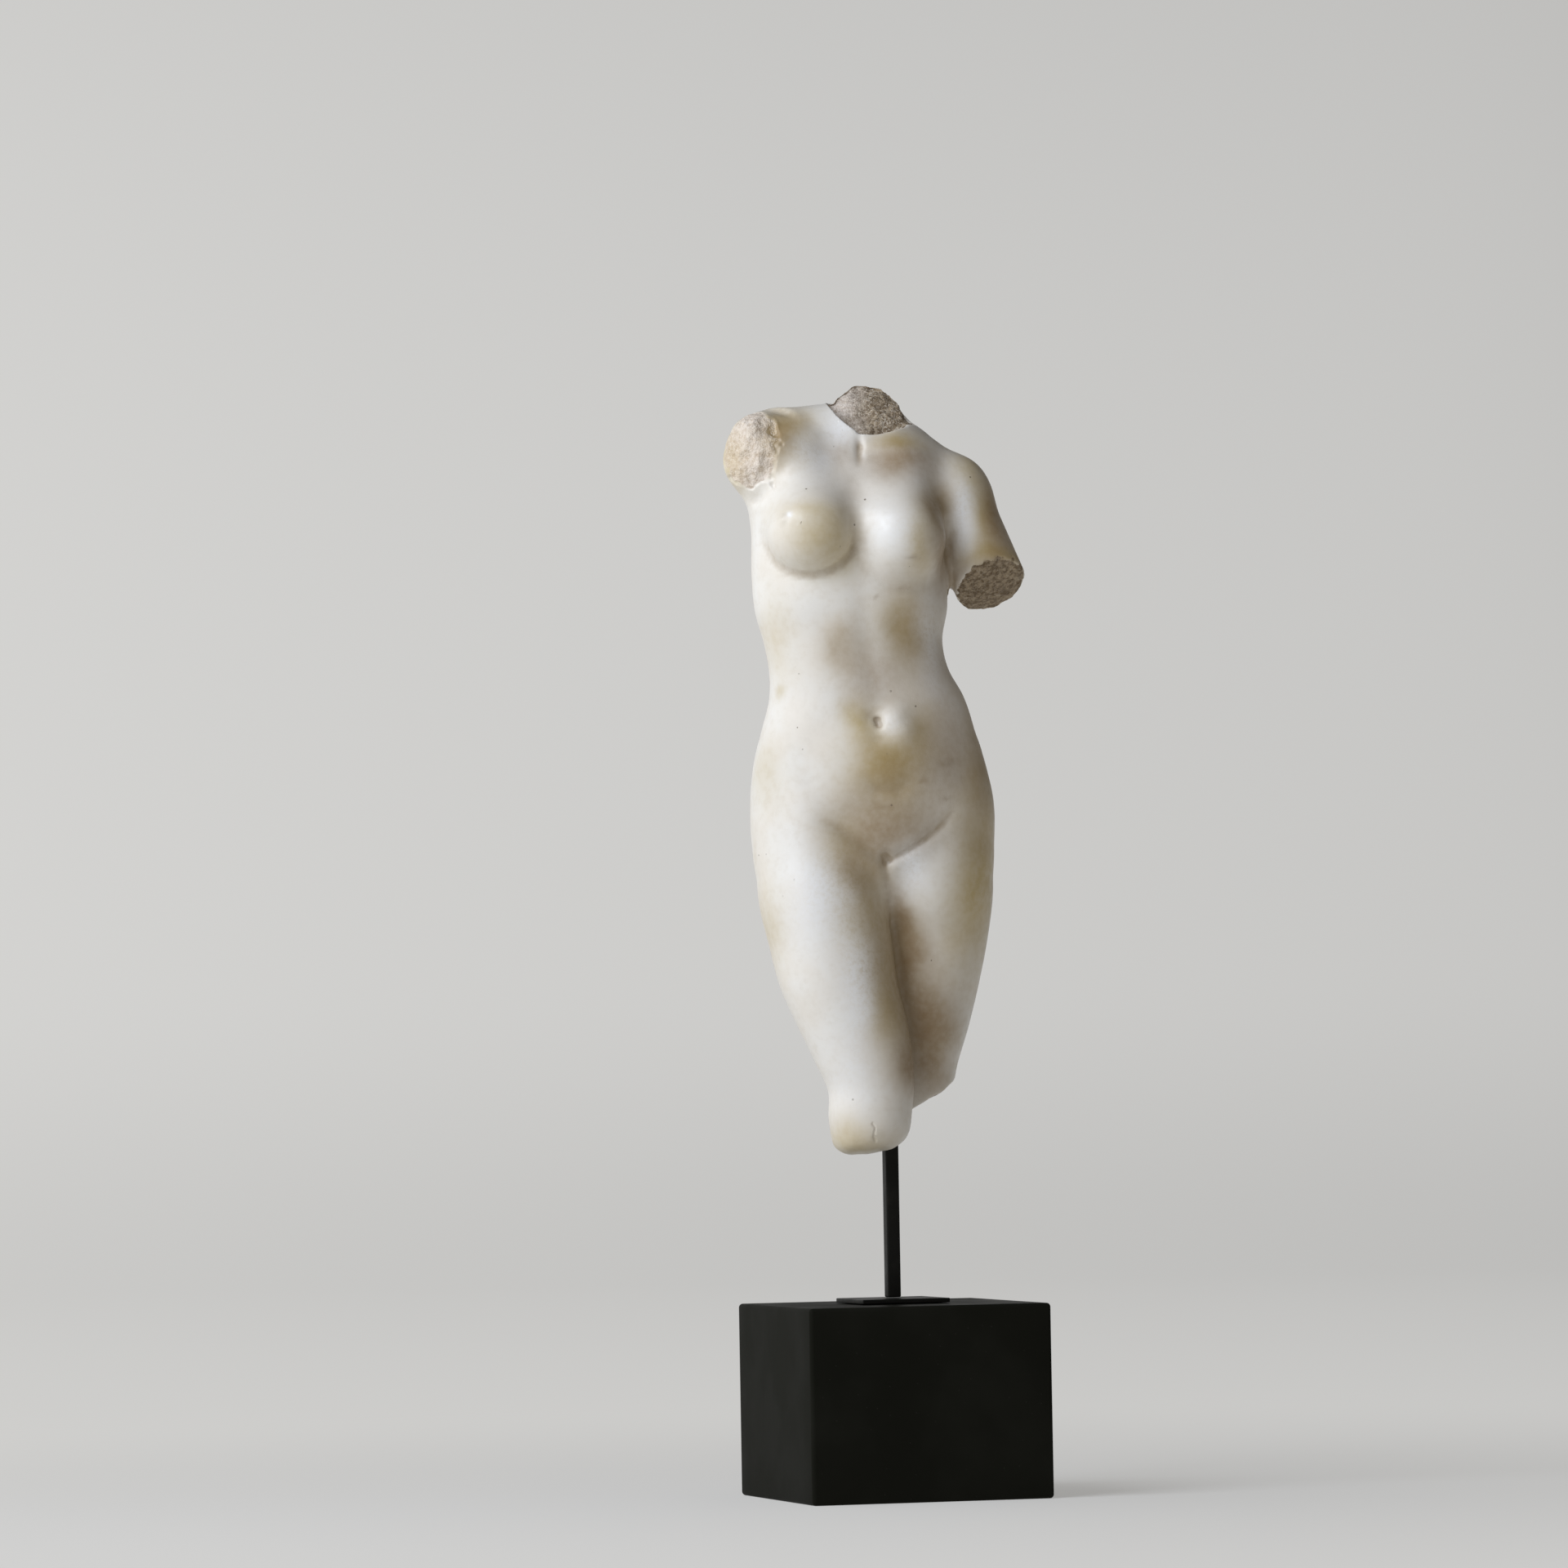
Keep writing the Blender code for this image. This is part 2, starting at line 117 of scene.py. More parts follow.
# The breaks: a point on each, the way it faces, how far it reaches and how it is domed, all
# in parts, how uneven it is, a seed, how coarse and how fine its crumbling is, and how dark
# its broken face is
BREAKS = {
    "neck": dict(point=(-0.3, 15, 331.2), facing=(-0.04, -0.72, 0.69), reach=60, dome=55,
                 uneven=1.5, seed=31, lumps=1.3, grains=0.4, dark=0.2),
    "shoulder": dict(point=(-58.9, 1.9, 313.9), facing=(-0.65, -0.7, 0.31), reach=27, dome=24,
                     uneven=1.8, seed=21, lumps=1.5, grains=0.35, dark=0.0),
    "arm": dict(point=(52.5, 9, 250), facing=(0.25, -0.57, -0.79), reach=40, dome=90, uneven=1.0,
                seed=11, lumps=0.25, grains=0.4, dark=1.3),
    "stump": dict(point=(-14, -7, -2.2), facing=(0.2, 0.0, -1.0), seed=41, lumps=0.1, grains=0.2,
                  dark=0.9),
    "rear leg": dict(point=(21, 21, 24.5), facing=(0.5, 0.0, -0.86), reach=60, dome=400,
                     uneven=1.0, seed=51, lumps=0.3, grains=0.35, dark=0.7),
}
NECK_REACH_ON_TRUNK = 19.2
# The shoulder's break wraps round its end, beyond this point and within this distance of it
SHOULDER_RIM = (-53.1, 8.1, 311.2)
SHOULDER_REACH = 24
# This near to the break's own point, that replaces the test against the whole torso
SHOULDER_NEAR = 34
# From this height up the shoulder's break draws back, over how many parts, and by how much
SHOULDER_TOP = 300.0
SHOULDER_RISE = 10.0
SHOULDER_RETREAT = 3.0
# A knob at the shoulder's end, with a broken face all over
SHOULDER_KNOB = (-53, 11, 315)
KNOB_REACH = 13.5
# Breaks that run over their rims: within what distance, how far past it, and how ragged
ARM_RIM = dict(near=24, past=3.0, ragged=5.0, seed=24)
NECK_RIM = dict(near=28, past=6.0, ragged=3.0, seed=25)
# The neck's rim is broken above this height, and above a lower one to the viewer's right
NECK_TOP_START = 334.0
NECK_TOP_DROP = 11.0
# The neck's break darkens to the viewer's right: from where, over what width, and how much
NECK_DARK_START = -15.0
NECK_DARK_WIDTH = 12.0
NECK_DARK_GAIN = 0.75
# The stump's face is broken below this height, from this far inside it, fading in over so much
STUMP_TOP = 12.0
STUMP_EDGE = 1.4
STUMP_FADE = 0.8

# From this height up, the skin is drawn in a little, to stay within the solid
TOP_START = 330.0
TOP_RISE = 8.0
TOP_DEPTH = 0.7

# Balls, each a middle and a radius, round the small carving that needs a finer mesh
SMALL_CARVING = (
    (-43.5, -22, 278.5, 5),
    (19, -22, 274, 5),
    (-5, -20, 190, 7),
    (-11, 0, 311, 7),
    (0, -15, 131, 10),
    (-11, -24, 10, 7),
)
# A crack at the front of the stump: across and the heights of its ends, as seen, then how
# wide and deep it is, how far it sways and how its ends fade
CRACK_ACROSS = -6.9
CRACK_LOW = 5.0
CRACK_HIGH = 14.5
CRACK_WIDTH = 0.4
CRACK_DEPTH = 0.6
CRACK_SWAY = 1.8
CRACK_FADE = 12.0

# The photograph looks at the torso from this far to its left
SEEN_FROM = math.radians(9.0)

# Stains as seen in the photograph, some of them painted shade: across, height, half width,
# half height, strength. The ochre patches also paint warm shade down the thighs' shaded sides
OCHRE_STAINS_AND_SHADE = (
    (-42, 318, 11, 12, 1.0),
    (-28, 271, 13, 13, 0.65),
    (-18, 268, 7, 13, 0.5),
    (-31, 282, 12, 3, 0.4),
    (19, 267, 5.5, 13, 0.75),
    (12, 230, 12, 16, 0.8),
    (-18, 223, 9, 12, 0.35),
    (2, 170, 16, 15, 1.0),
    (-10, 190, 7, 10, 0.75),
    (17, 184, 7, 12, 0.65),
    (41, 304, 7, 13, 0.7),
    (48, 282, 6, 17, 0.9),
    (51, 264, 16, 5, 0.9),
    (-52, 168, 8, 14, 0.4),
    (-53, 98, 8, 22, 0.45),
    (-46, 229, 8, 18, 0.35),
    (-45, 204, 2, 3, 0.5),
    (-19, 136, 10, 10, 0.7),
    (-13, 120, 10, 14, 0.85),
    (-9, 102, 9, 16, 0.85),
    (-5, 82, 8, 16, 0.85),
    (-1, 62, 7, 16, 0.75),
    (41, 118, 10, 34, 0.9),
    (30, 100, 8, 20, 0.4),
    (8, 90, 7, 20, 0.5),
    (17, 55, 12, 22, 0.6),
    (-17, 5, 17, 9, 0.65),
    (27, 284, 7, 9, 0.5),
    (44, 165, 8, 28, 0.5),
    (10, 315, 11, 4, 0.9),
    (-66, 303, 8, 18, 1.0),
    (0, 147, 24, 13, 0.3),
)
# The umber patches are stains and also painted shadow: in the armpit, in the crease between arm and
# breast, and where the front leg shades the rear thigh
UMBER_STAINS_AND_SHADE = (
    (-43, 317, 9, 10, 0.8),
    (-18, 223, 9, 11, 0.45),
    (12, 229, 10, 14, 0.45),
    (26, 285, 6, 8, 0.75),
    (28, 263, 4, 14, 0.8),
    (11, 306, 14, 9, 0.85),
    (-17, 312, 9, 8, 0.4),
    (2, 168, 15, 12, 0.5),
    (0, 143, 24, 14, 0.75),
    (-4, 209, 13, 13, 0.5),
    (24, 205, 9, 26, 0.3),
    (28, 173, 14, 20, 0.42),
    (-13, 122, 8, 14, 0.55),
    (-5, 88, 7, 26, 0.5),
    (43, 168, 7, 25, 0.35),
    (7, 103, 4, 11, 0.85),
    (9, 84, 7, 17, 0.9),
    (17, 57, 13, 20, 1.0),
    (15, 38, 11, 9, 0.8),
    (52, 250, 20, 12, 0.5),
    (52, 280, 6, 20, 0.85),
    (28, 171, 3.5, 1.5, 0.45),
    (17.5, 164, 1, 1, 0.7),
    (26.5, 155, 2, 0.9, 0.6),
    (14.5, 262, 3, 0.8, 0.5),
    (10, 248, 3, 1.2, 0.35),
    (-2, 244.5, 1.2, 0.8, 0.4),
    (-1, 153, 5, 0.9, 0.4),
)
# Chalky places, where the skin is scuffed or worn to white, and painted highlights where its bulges
# face the lamp
CHALK_AND_HIGHLIGHTS = (
    (-14, 74, 8, 26, 0.8),
    (-17, 34, 9, 13, 0.5),
    (4, 189, 5, 4.5, 0.45),
    (-17, 322, 7, 5, 0.9),
    (-28, 308, 9, 8, 0.6),
    (8, 272, 10, 9, 0.55),
    (12.4, 126, 6, 9, 0.9),
    (-29, 113, 12, 18, 0.8),
    (37, 283, 4, 15, 0.9),
    (22, 225, 5, 20, 0.6),
    (-39.3, 280.8, 1.2, 1.2, 1.0),
)
# How far back the front's stains, painted shade and painted highlights reach and how softly
# they end, and from what height, over how many parts and by how much they reach further
PATCH_EDGE = 12.0
PATCH_SOFTNESS = 16.0
PATCH_TOP = 300.0
PATCH_RISE = 12.0
PATCH_TOP_EDGE = 14.0
# No painted shade is put in a crease this near to the shoulder's break, and beyond that it fades in
CREASE_START = 20.0
CREASE_FADE = 8.0


def smooth_union(a, b, reach):
    """Joins two solids with a soft fillet of about the given reach."""
    h = np.maximum(reach - np.abs(a - b), 0.0) / reach
    return np.minimum(a, b) - h * h * reach / 4.0


def smooth_cut(a, b, reach):
    """Keeps what lies in both solids, with a softened edge."""
    return -smooth_union(-a, -b, reach)


def away_from(p, point):
    return np.linalg.norm(p - np.array(point, float), axis=1)


def ellipsoid(p, centre, radii):
    q = p - np.array(centre, float)
    r = np.array(radii, float)
    k0 = np.linalg.norm(q / r, axis=1)
    k1 = np.linalg.norm(q / (r * r), axis=1)
    return k0 * (k0 - 1.0) / np.maximum(k1, 1e-9)


def limb(p, start, end, start_radius, end_radius):
    """A round limb that tapers from one ball to another."""
    a = np.array(start, float)
    axis = np.array(end, float) - a
    t = np.clip((p - a) @ axis / (axis @ axis), 0.0, 1.0)
    gap = np.linalg.norm(p - a - t[:, None] * axis, axis=1)
    return gap - (start_radius + (end_radius - start_radius) * t)


def eased(z, heights, values):
    """Reads a smooth curve through the stations at the heights z."""
    h = np.array(heights, float)
    v = np.array(values, float)
    slope = np.gradient(v, h)
    i = np.clip(np.searchsorted(h, z) - 1, 0, len(h) - 2)
    step = h[i + 1] - h[i]
    t = np.clip((z - h[i]) / step, 0.0, 1.0)
    t2 = t * t
    t3 = t2 * t
    return (
        (2 * t3 - 3 * t2 + 1) * v[i]
        + (t3 - 2 * t2 + t) * step * slope[i]
        + (3 * t2 - 2 * t3) * v[i + 1]
        + (t3 - t2) * step * slope[i + 1]
    )


def loft(p, stations, squareness):
    """A body of oval sections, one above the other, closed at its first and last station."""
    z = p[:, 2]
    heights, *columns = zip(*stations)
    middle_x, middle_y, half_width, front, back = (eased(z, heights, c) for c in columns)
    x = p[:, 0] - middle_x
    y = p[:, 1] - middle_y
    depth = np.where(y < 0, front, back)
    u = np.abs(x / half_width)
    v = np.abs(y / depth)
    n = squareness
    k = np.maximum((u**n + v**n) ** (1.0 / n), 1e-6)
    slope = k ** (1 - n) * np.hypot(u ** (n - 1) / half_width, v ** (n - 1) / depth)
    flattest = 0.004
    side = (k - 1.0) / np.maximum(slope, flattest)
    ends = np.maximum(heights[0] - z, z - heights[-1])
    end_softness = 10.0
    return smooth_cut(side, ends, end_softness)


def plane(p, point, normal):
    """Positive on the side that the normal points to."""
    n = np.array(normal, float)
    return (p - np.array(point, float)) @ (n / np.linalg.norm(n))


def ripple(p, length, seed):
    """Smooth uneven relief, about -1 to 1, with lumps of the given length."""
    rng = np.random.default_rng(seed)
    total = np.zeros(len(p))
    waves = 7
    for _ in range(waves):
        direction = rng.normal(size=3)
        direction /= np.linalg.norm(direction)
        total += np.sin(p @ direction * (2 * math.pi / length) + rng.uniform(0, 2 * math.pi))
    return total / math.sqrt(waves)


def break_face(p, name, reach=None):
    """The uneven, domed face of a break: zero on it and positive where stone is lost."""
    cut = BREAKS[name]
    away = away_from(p, cut["point"])
    face = plane(p, cut["point"], cut["facing"]) + away**2 / (2.0 * cut["dome"])
    uneven = 0.3 * ripple(p, 14.0, cut["seed"]) + 0.12 * ripple(p, 7.0, cut["seed"] + 1)
    face = face + cut["uneven"] * uneven
    return smooth_union(face, (reach or cut["reach"]) - away, 4.0)


def stump_face(p):
    cut = BREAKS["stump"]
    return plane(p, cut["point"], cut["facing"]) + 0.3 * ripple(p, 9.0, cut["seed"])


def broken(p, body, name, whole, reach=None):
    return body if whole else smooth_cut(body, break_face(p, name, reach), 1.5)


def furrow(p, path, width, depth):
    """A soft furrow along a line of (x, z, strength) points, seen from the front, to be added
    to one side of the body. A negative depth gives a ridge."""
    q = p[:, [0, 2]]
    nearest = np.full(len(p), 1e9)
    strength = np.zeros(len(p))
    for start, end in zip(path[:-1], path[1:]):
        a = np.array(start[:2], float)
        axis = np.array(end[:2], float) - a
        t = np.clip((q - a) @ axis / (axis @ axis), 0.0, 1.0)
        gap = np.linalg.norm(q - a - t[:, None] * axis, axis=1)
        closer = gap < nearest
        strength = np.where(closer, start[2] + (end[2] - start[2]) * t, strength)
        nearest = np.where(closer, gap, nearest)
    return depth * strength * np.exp(-((nearest / width) ** 2))


def on_front(p, edge=6.0, softness=10.0):
    return 1.0 / (1.0 + np.exp((p[:, 1] - edge) / softness * 4.0))


def upper_body(p, whole):
    """The trunk with the shoulders, neck and upper arm, and their three breaks."""
    body = loft(p, TRUNK, TRUNK_SQUARENESS)
    body = smooth_union(body, limb(p, (-4, 19, 321), (-42, 17, 316.6), 14.5, 14), 12)
    body = smooth_union(body, limb(p, (-2, 19, 318), (35, 18, 295.5), 14, 14), 12)
    body = smooth_union(body, limb(p, (-16, 30, 300), (-42, 22, 308), 14, 13), 12)
    body = smooth_union(body, limb(p, (0, 30, 292), (30, 22, 288), 14, 14), 14)
    neck = broken(p, limb(p, (-3, 19, 300), (-1.5, 17, 345), 15.5, 15), "neck", whole)
    body = smooth_union(body, neck, 6)
    body = broken(p, body, "neck", whole, NECK_REACH_ON_TRUNK)
    body = smooth_union(body, ellipsoid(p, (-48.5, 13, 309), (19, 18, 18.8)), 10)
    body = broken(p, body, "shoulder", whole)
    body = smooth_union(body, ellipsoid(p, SHOULDER_KNOB, (11.5, 13, 13.5)), 3)
    arm = smooth_union(
        ellipsoid(p, (35.5, 17, 292), (16, 16, 17)),
        limb(p, (38.5, 16, 286), (57.6, 7, 234), 15.5, 16.6),
        8,
    )
    return smooth_union(body, broken(p, arm, "arm", whole), 5)


def breasts(p, body):
    """Each is full and sharply set off below, and drawn up towards its shoulder. After the
    side and the middle of each comes the middle of its nipple."""
    for side, middle, tip in (
        (-1, (-31.2, -9.5, 273.8), (-45.2, -20.4, 278.4)),
        (1, (8.0, -9.5, 270.8), (12.5, -24.6, 265.8)),
    ):
        x, _, z = middle
        globe = ellipsoid(p, middle, (19, 18.8, 18.8))
        slope = limb(p, (x, -7, z + 1), (x + 3 * side, 6, z + 32), 17.2, 9)
        above = np.clip((p[:, 2] - z + 6.0) / 18.0, 0.0, 1.0)
        softer = 4.0 if side > 0 else 0.0
        body = smooth_union(body, smooth_union(globe, slope, 8), 2.5 + softer + 7.0 * above)
        body = smooth_union(body, ellipsoid(p, tip, (1.5, 1.5, 1.5)), 2.5)
    return body


def lower_body(p, body, whole):
    """Legs broken off at the knee, buttocks, belly and pubic mound."""
    front_leg = smooth_cut(loft(p, FRONT_LEG, LEG_SQUARENESS), stump_face(p), 15)
    rear_leg = broken(p, loft(p, REAR_LEG, LEG_SQUARENESS), "rear leg", whole)
    legs = smooth_union(front_leg, rear_leg, 4)
    body = smooth_union(body, legs, 12)
    body = smooth_union(body, ellipsoid(p, (22, 6, 124), (20, 19.5, 27)), 9)
    body = smooth_union(body, ellipsoid(p, (-26, 29, 141), (23, 23, 25)), 10)
    body = smooth_union(body, ellipsoid(p, (18, 30, 146), (23, 23, 25)), 10)
    body = smooth_union(body, ellipsoid(p, (-1, -2, 170), (27, 20, 23)), 14)
    return smooth_union(body, ellipsoid(p, (0, -2.2, 142), (18, 15.5, 15)), 12)


def carving(p):
    """Furrows and ridges of the front and the back, in parts of depth."""
    front = on_front(p)
    notch = furrow(p, ((-8, 318, 0.3), (-8, 312, 1), (-9.5, 302, 0)), 2.0, 1.4)
    midline = furrow(
        p, ((-10, 306, 0), (-12, 290, 0.6), (-12, 258, 0.6), (-9, 222, 1), (-5, 197, 0.6)), 6, 0.9
    )
    ribs = furrow(p, ((-44, 222, 0), (-30, 232, 1), (-14, 247, 0)), 9, 0.7)
    ribs += furrow(p, ((20, 222, 0), (4, 232, 1), (-11, 247, 0)), 9, 0.7)
    navel = furrow(p, ((-5.2, 190, 1), (-4.8, 188.5, 1)), 1.7, 2.2)
    navel += furrow(p, ((-7, 191, 1), (-6, 184, 0.6)), 4.5, 1.3)
    navel += furrow(p, ((3.5, 190.5, 1), (5.5, 186.5, 1)), 6.5, -2.0)
    groin = furrow(p, ((-34, 149, 0), (-24, 143.5, 0.7), (-12, 136, 1), (-2.5, 129.5, 1)), 3.4, 1.7)
    groin += furrow(
        p, ((31, 154, 0), (24, 145, 0.5), (16, 138.5, 1), (8, 133.5, 1), (0.5, 129.5, 1)), 2.2, 1.5
    )
    groin += furrow(p, ((-2, 131, 1), (-1, 114, 0)), 2.2, 1.5)
    fold = furrow(p, ((-15, 166, 0), (-7, 160.5, 1), (3, 159.5, 1), (12, 165, 0)), 3.5, 0.9)
    flank = furrow(p, ((-30, 150, 0), (-37, 163, 0.6), (-47, 178, 0)), 7, 0.8)
    flank += furrow(p, ((30, 152, 0), (34, 165, 0.6), (40, 180, 0)), 7, 0.8)
    collar = furrow(p, ((-16, 314, 0.3), (-28, 318, 1), (-40, 322, 0)), 3.5, -0.8)
    collar += furrow(p, ((-5, 313, 0.3), (12, 310, 1), (28, 308, 0)), 3.5, -0.8)
    spine = furrow(
        p, ((-6, 322, 0), (-11, 300, 0.8), (-13, 262, 0.8), (-9, 214, 1.2), (-6, 176, 0.5)), 5, 2.2
    )
    cleft = furrow(p, ((-5.5, 170, 0), (-4.5, 156, 1), (-3, 124, 1), (-2, 104, 0)), 3.0, 5.5)
    folds = furrow(p, ((-4, 122, 0.7), (-22, 116, 1), (-42, 119, 0)), 3.0, 2.2)
    folds += furrow(p, ((-2, 126, 0.7), (16, 121, 1), (38, 125, 0)), 3.0, 2.2)
    blades = furrow(p, ((-24, 296, 0), (-27, 280, 1), (-38, 268, 0)), 6, -1.8)
    blades += furrow(p, ((3, 294, 0), (5, 278, 1), (16, 266, 0)), 6, -1.8)
    before = notch + midline + ribs + navel + groin + fold + flank + collar
    behind = spine + cleft + folds + blades
    return front * before + (1.0 - front) * behind


def torso_field(p, whole=False):
    """Signed distance, in parts, to the torso: negative inside the stone. The whole torso has
    none of its breaks."""
    body = lower_body(p, breasts(p, upper_body(p, whole)), whole)
    return body + carving(p)


def sampled(field, low, high, step):
    """The field's values on a grid. Far from the surface, one value fills a whole block."""
    block = 3
    blocks = [int(math.ceil((b - a) / (step * block))) + 1 for a, b in zip(low, high)]
    start = np.array(low, float)
    corner = np.stack(np.meshgrid(*map(np.arange, blocks), indexing="ij"), -1).reshape(-1, 3)
    middle = start + step * (block * corner + (block - 1) / 2.0)
    coarse = field(middle)
    deepest_carving = 5.5
    near = np.abs(coarse) < deepest_carving + 1.2 * step * block
    values = coarse.reshape(blocks)
    for axis in range(3):
        values = np.repeat(values, block, axis=axis)
    offsets = np.stack(np.meshgrid(*[np.arange(block)] * 3, indexing="ij"), -1).reshape(-1, 3)
    fine = (block * corner[near][:, None, :] + offsets[None]).reshape(-1, 3)
    values[tuple(fine.T)] = field(start + step * fine)
    return values


def fill_pinches(values):
    """Where the solid corners of a grid face touch only across its diagonal, the net would
    pinch itself to a line, so the other two corners become solid too."""
    just_inside = -0.01
    for axis in (0, 1, 2) * 3:
        others = [a for a in range(3) if a != axis]
        corners = []
        for s, t in ((0, 0), (0, 1), (1, 1), (1, 0)):
            part = [slice(None)] * 3
            part[others[0]] = slice(s, values.shape[others[0]] - 1 + s)
            part[others[1]] = slice(t, values.shape[others[1]] - 1 + t)
            corners.append(values[tuple(part)])
        a, b, c, d = (corner < 0 for corner in corners)
        pinched = (a == c) & (b == d) & (a != b)
        for corner in corners:
            corner[pinched & (corner >= 0)] = just_inside


def surface_net(values, low, step):
    """Meshes the grid's zero surface: one vertex in each cell that the surface crosses, at
    the mean of its edge crossings, and one quad across each grid edge that it crosses."""
    inside = values < 0
    cells = [n - 1 for n in values.shape]
    total = np.zeros(cells + [3])
    hits = np.zeros(cells)
    for axis in range(3):
        others = [a for a in range(3) if a != axis]
        for s in (0, 1):
            for t in (0, 1):
                first = [slice(0, -1)] * 3
                first[others[0]] = slice(s, s + cells[others[0]])
                first[others[1]] = slice(t, t + cells[others[1]])
                second = list(first)
                second[axis] = slice(1, None)
                a = values[tuple(first)]
                b = values[tuple(second)]
                crossed = (a < 0) != (b < 0)
                share = np.where(crossed, a / np.where(crossed, a - b, 1.0), 0.0)
                total[..., axis] += share
                total[..., others[0]] += s * crossed
                total[..., others[1]] += t * crossed
                hits += crossed
    active = hits > 0
    index = np.full(cells, -1)
    index[active] = np.arange(active.sum())
    corner = np.argwhere(active)
    points = np.array(low) + step * (corner + total[active] / hits[active][:, None])
    quads = []
    for axis in range(3):
        others = [a for a in range(3) if a != axis]
        first = [slice(1, -1)] * 3
        first[axis] = slice(0, -1)
        second = list(first)
        second[axis] = slice(1, None)
        a = inside[tuple(first)]
        b = inside[tuple(second)]
        where = np.argwhere(a != b)
        solid_first = a[tuple(where.T)]
        where = where + np.array([0 if k == axis else 1 for k in range(3)])
        ring = []
        for s, t in ((0, 0), (1, 0), (1, 1), (0, 1)):
            cell = where.copy()
            cell[:, others[0]] -= 1 - s
            cell[:, others[1]] -= 1 - t
            ring.append(index[tuple(cell.T)])
        quad = np.stack(ring, axis=1)
        inwards = solid_first if axis == 1 else ~solid_first
        quad[inwards] = quad[inwards][:, ::-1]
        quads.append(quad)
    return points, np.concatenate(quads)


def settle(field, points, rounds):
    """Moves each point along the field's slope until it lies on the zero surface."""
    small = 0.05
    flattest = 0.2
    furthest = 1.0
    for _ in range(rounds):
        value = field(points)
        slope = np.empty_like(points)
        for axis in range(3):
            ahead = points.copy()
            ahead[:, axis] += small
            slope[:, axis] = (field(ahead) - value) / small
        size = np.maximum((slope**2).sum(axis=1), flattest)
        points = points - np.clip(value / size, -furthest, furthest)[:, None] * slope
    return points


def lattice(cell, seed):
    """A number from 0 to 1 for each cell of a lattice of whole numbers, as if at random."""
    spread = np.array((73856093, 19349663, 83492791), np.uint64)
    h = (cell.astype(np.int64).astype(np.uint64) * spread).sum(axis=-1, dtype=np.uint64)
    h = h + np.uint64(seed * 2654435761)
    for shift in (33, 29, 32):
        h = (h ^ (h >> np.uint64(shift))) * np.uint64(0xFF51AFD7ED558CCD)
    return (h >> np.uint64(11)).astype(float) / 2.0**53


def cloud(p, size, seed):
    """Smooth random relief from 0 to 1, with lumps of the given size."""
    q = p / size + 0.37 * seed
    cell = np.floor(q)
    t = q - cell
    t = t * t * (3.0 - 2.0 * t)
    total = np.zeros(len(p))
    for corner in np.ndindex(2, 2, 2):
        weight = np.where(corner, t, 1.0 - t).prod(axis=1)
        total += weight * lattice(cell + np.array(corner), seed)
    return total


def crystals(p, size, seed):
    """Distance, from 0 to about 1, to the nearest of one random point in each cell."""
    q = p / size
    cell = np.floor(q)
    nearest = np.full(len(p), 9.0)
    for corner in np.ndindex(3, 3, 3):
        other = cell + np.array(corner) - 1.0
        jitter = np.stack([lattice(other, seed + axis) for axis in range(3)], axis=1)
        nearest = np.minimum(nearest, ((other + jitter - q) ** 2).sum(axis=1))
    return np.sqrt(nearest)


def rim_band(p, name, rim):
    """How broken each point is, from 0 to 1, where a break runs over its rim."""
    cut = BREAKS[name]
    ragged = rim["ragged"] * (cloud(p, 2.6, rim["seed"]) - 0.5)
    past = plane(p, cut["point"], cut["facing"]) + rim["past"] + ragged
    near = away_from(p, cut["point"]) < rim["near"]
    return np.where(near, np.clip(past, 0.0, 1.0), 0.0)


def breaks(p):
    """How broken each point is, from 0 to 1, and the name of the break nearest to it. What
    lies inside the whole torso is a broken face, and so is all of the shoulder's end."""
    skin = 0.4
    lost = np.clip(-torso_field(p, whole=True) - skin, 0.0, 1.0)
    shoulder = BREAKS["shoulder"]
    ragged = 3.5 * (cloud(p, 5.5, 22) - 0.5) + 1.5 * (cloud(p, 2.6, 23) - 0.5)
    beyond = plane(p, SHOULDER_RIM, shoulder["facing"]) + ragged
    knob = KNOB_REACH - away_from(p, SHOULDER_KNOB) + ragged
    higher = np.clip((p[:, 2] - SHOULDER_TOP) / SHOULDER_RISE, 0.0, 1.0)
    beyond = np.maximum(beyond - SHOULDER_RETREAT * higher, knob)
    within = SHOULDER_REACH - away_from(p, SHOULDER_RIM)
    around = away_from(p, shoulder["point"]) < SHOULDER_NEAR
    lost = np.where(around, np.clip(np.minimum(beyond, within), 0.0, 1.0), lost)
    lost = np.maximum(lost, rim_band(p, "arm", ARM_RIM))
    neck_top = p[:, 2] > NECK_TOP_START - np.clip(seen_across(p), 0.0, NECK_TOP_DROP)
    lost = np.maximum(lost, np.where(neck_top, rim_band(p, "neck", NECK_RIM), 0.0))
    under = np.clip((stump_face(p) + STUMP_EDGE) / STUMP_FADE, 0.0, 1.0)
    lost = np.maximum(lost, np.where(p[:, 2] < STUMP_TOP, under, 0.0))
    names = list(BREAKS)
    away = [away_from(p, BREAKS[name]["point"]) for name in names]
    return lost, np.array(names)[np.argmin(away, axis=0)]


def finer(shape, rings):
    """Splits each face that is broken, or within some rings of one, into four."""
    shape.verts.ensure_lookup_table()
    points = np.array([v.co for v in shape.verts])
    lost, _ = breaks(points)
    chosen = lost > 0.1
    for x, y, z, radius in SMALL_CARVING:
        chosen |= away_from(points, (x, y, z)) < radius
    faces = {f for v, take in zip(shape.verts, chosen) if take for f in v.link_faces}
    for _ in range(rings - 1):
        faces |= {g for f in faces for v in f.verts for g in v.link_faces}
    edges = list({e for f in faces for e in f.edges})
    bmesh.ops.subdivide_edges(shape, edges=edges, cuts=1, use_grid_fill=True)


def seen_across(p):
    """How far each point lies to the right of the axis as the photograph sees it."""
    return p[:, 0] * math.cos(SEEN_FROM) - p[:, 1] * math.sin(SEEN_FROM)


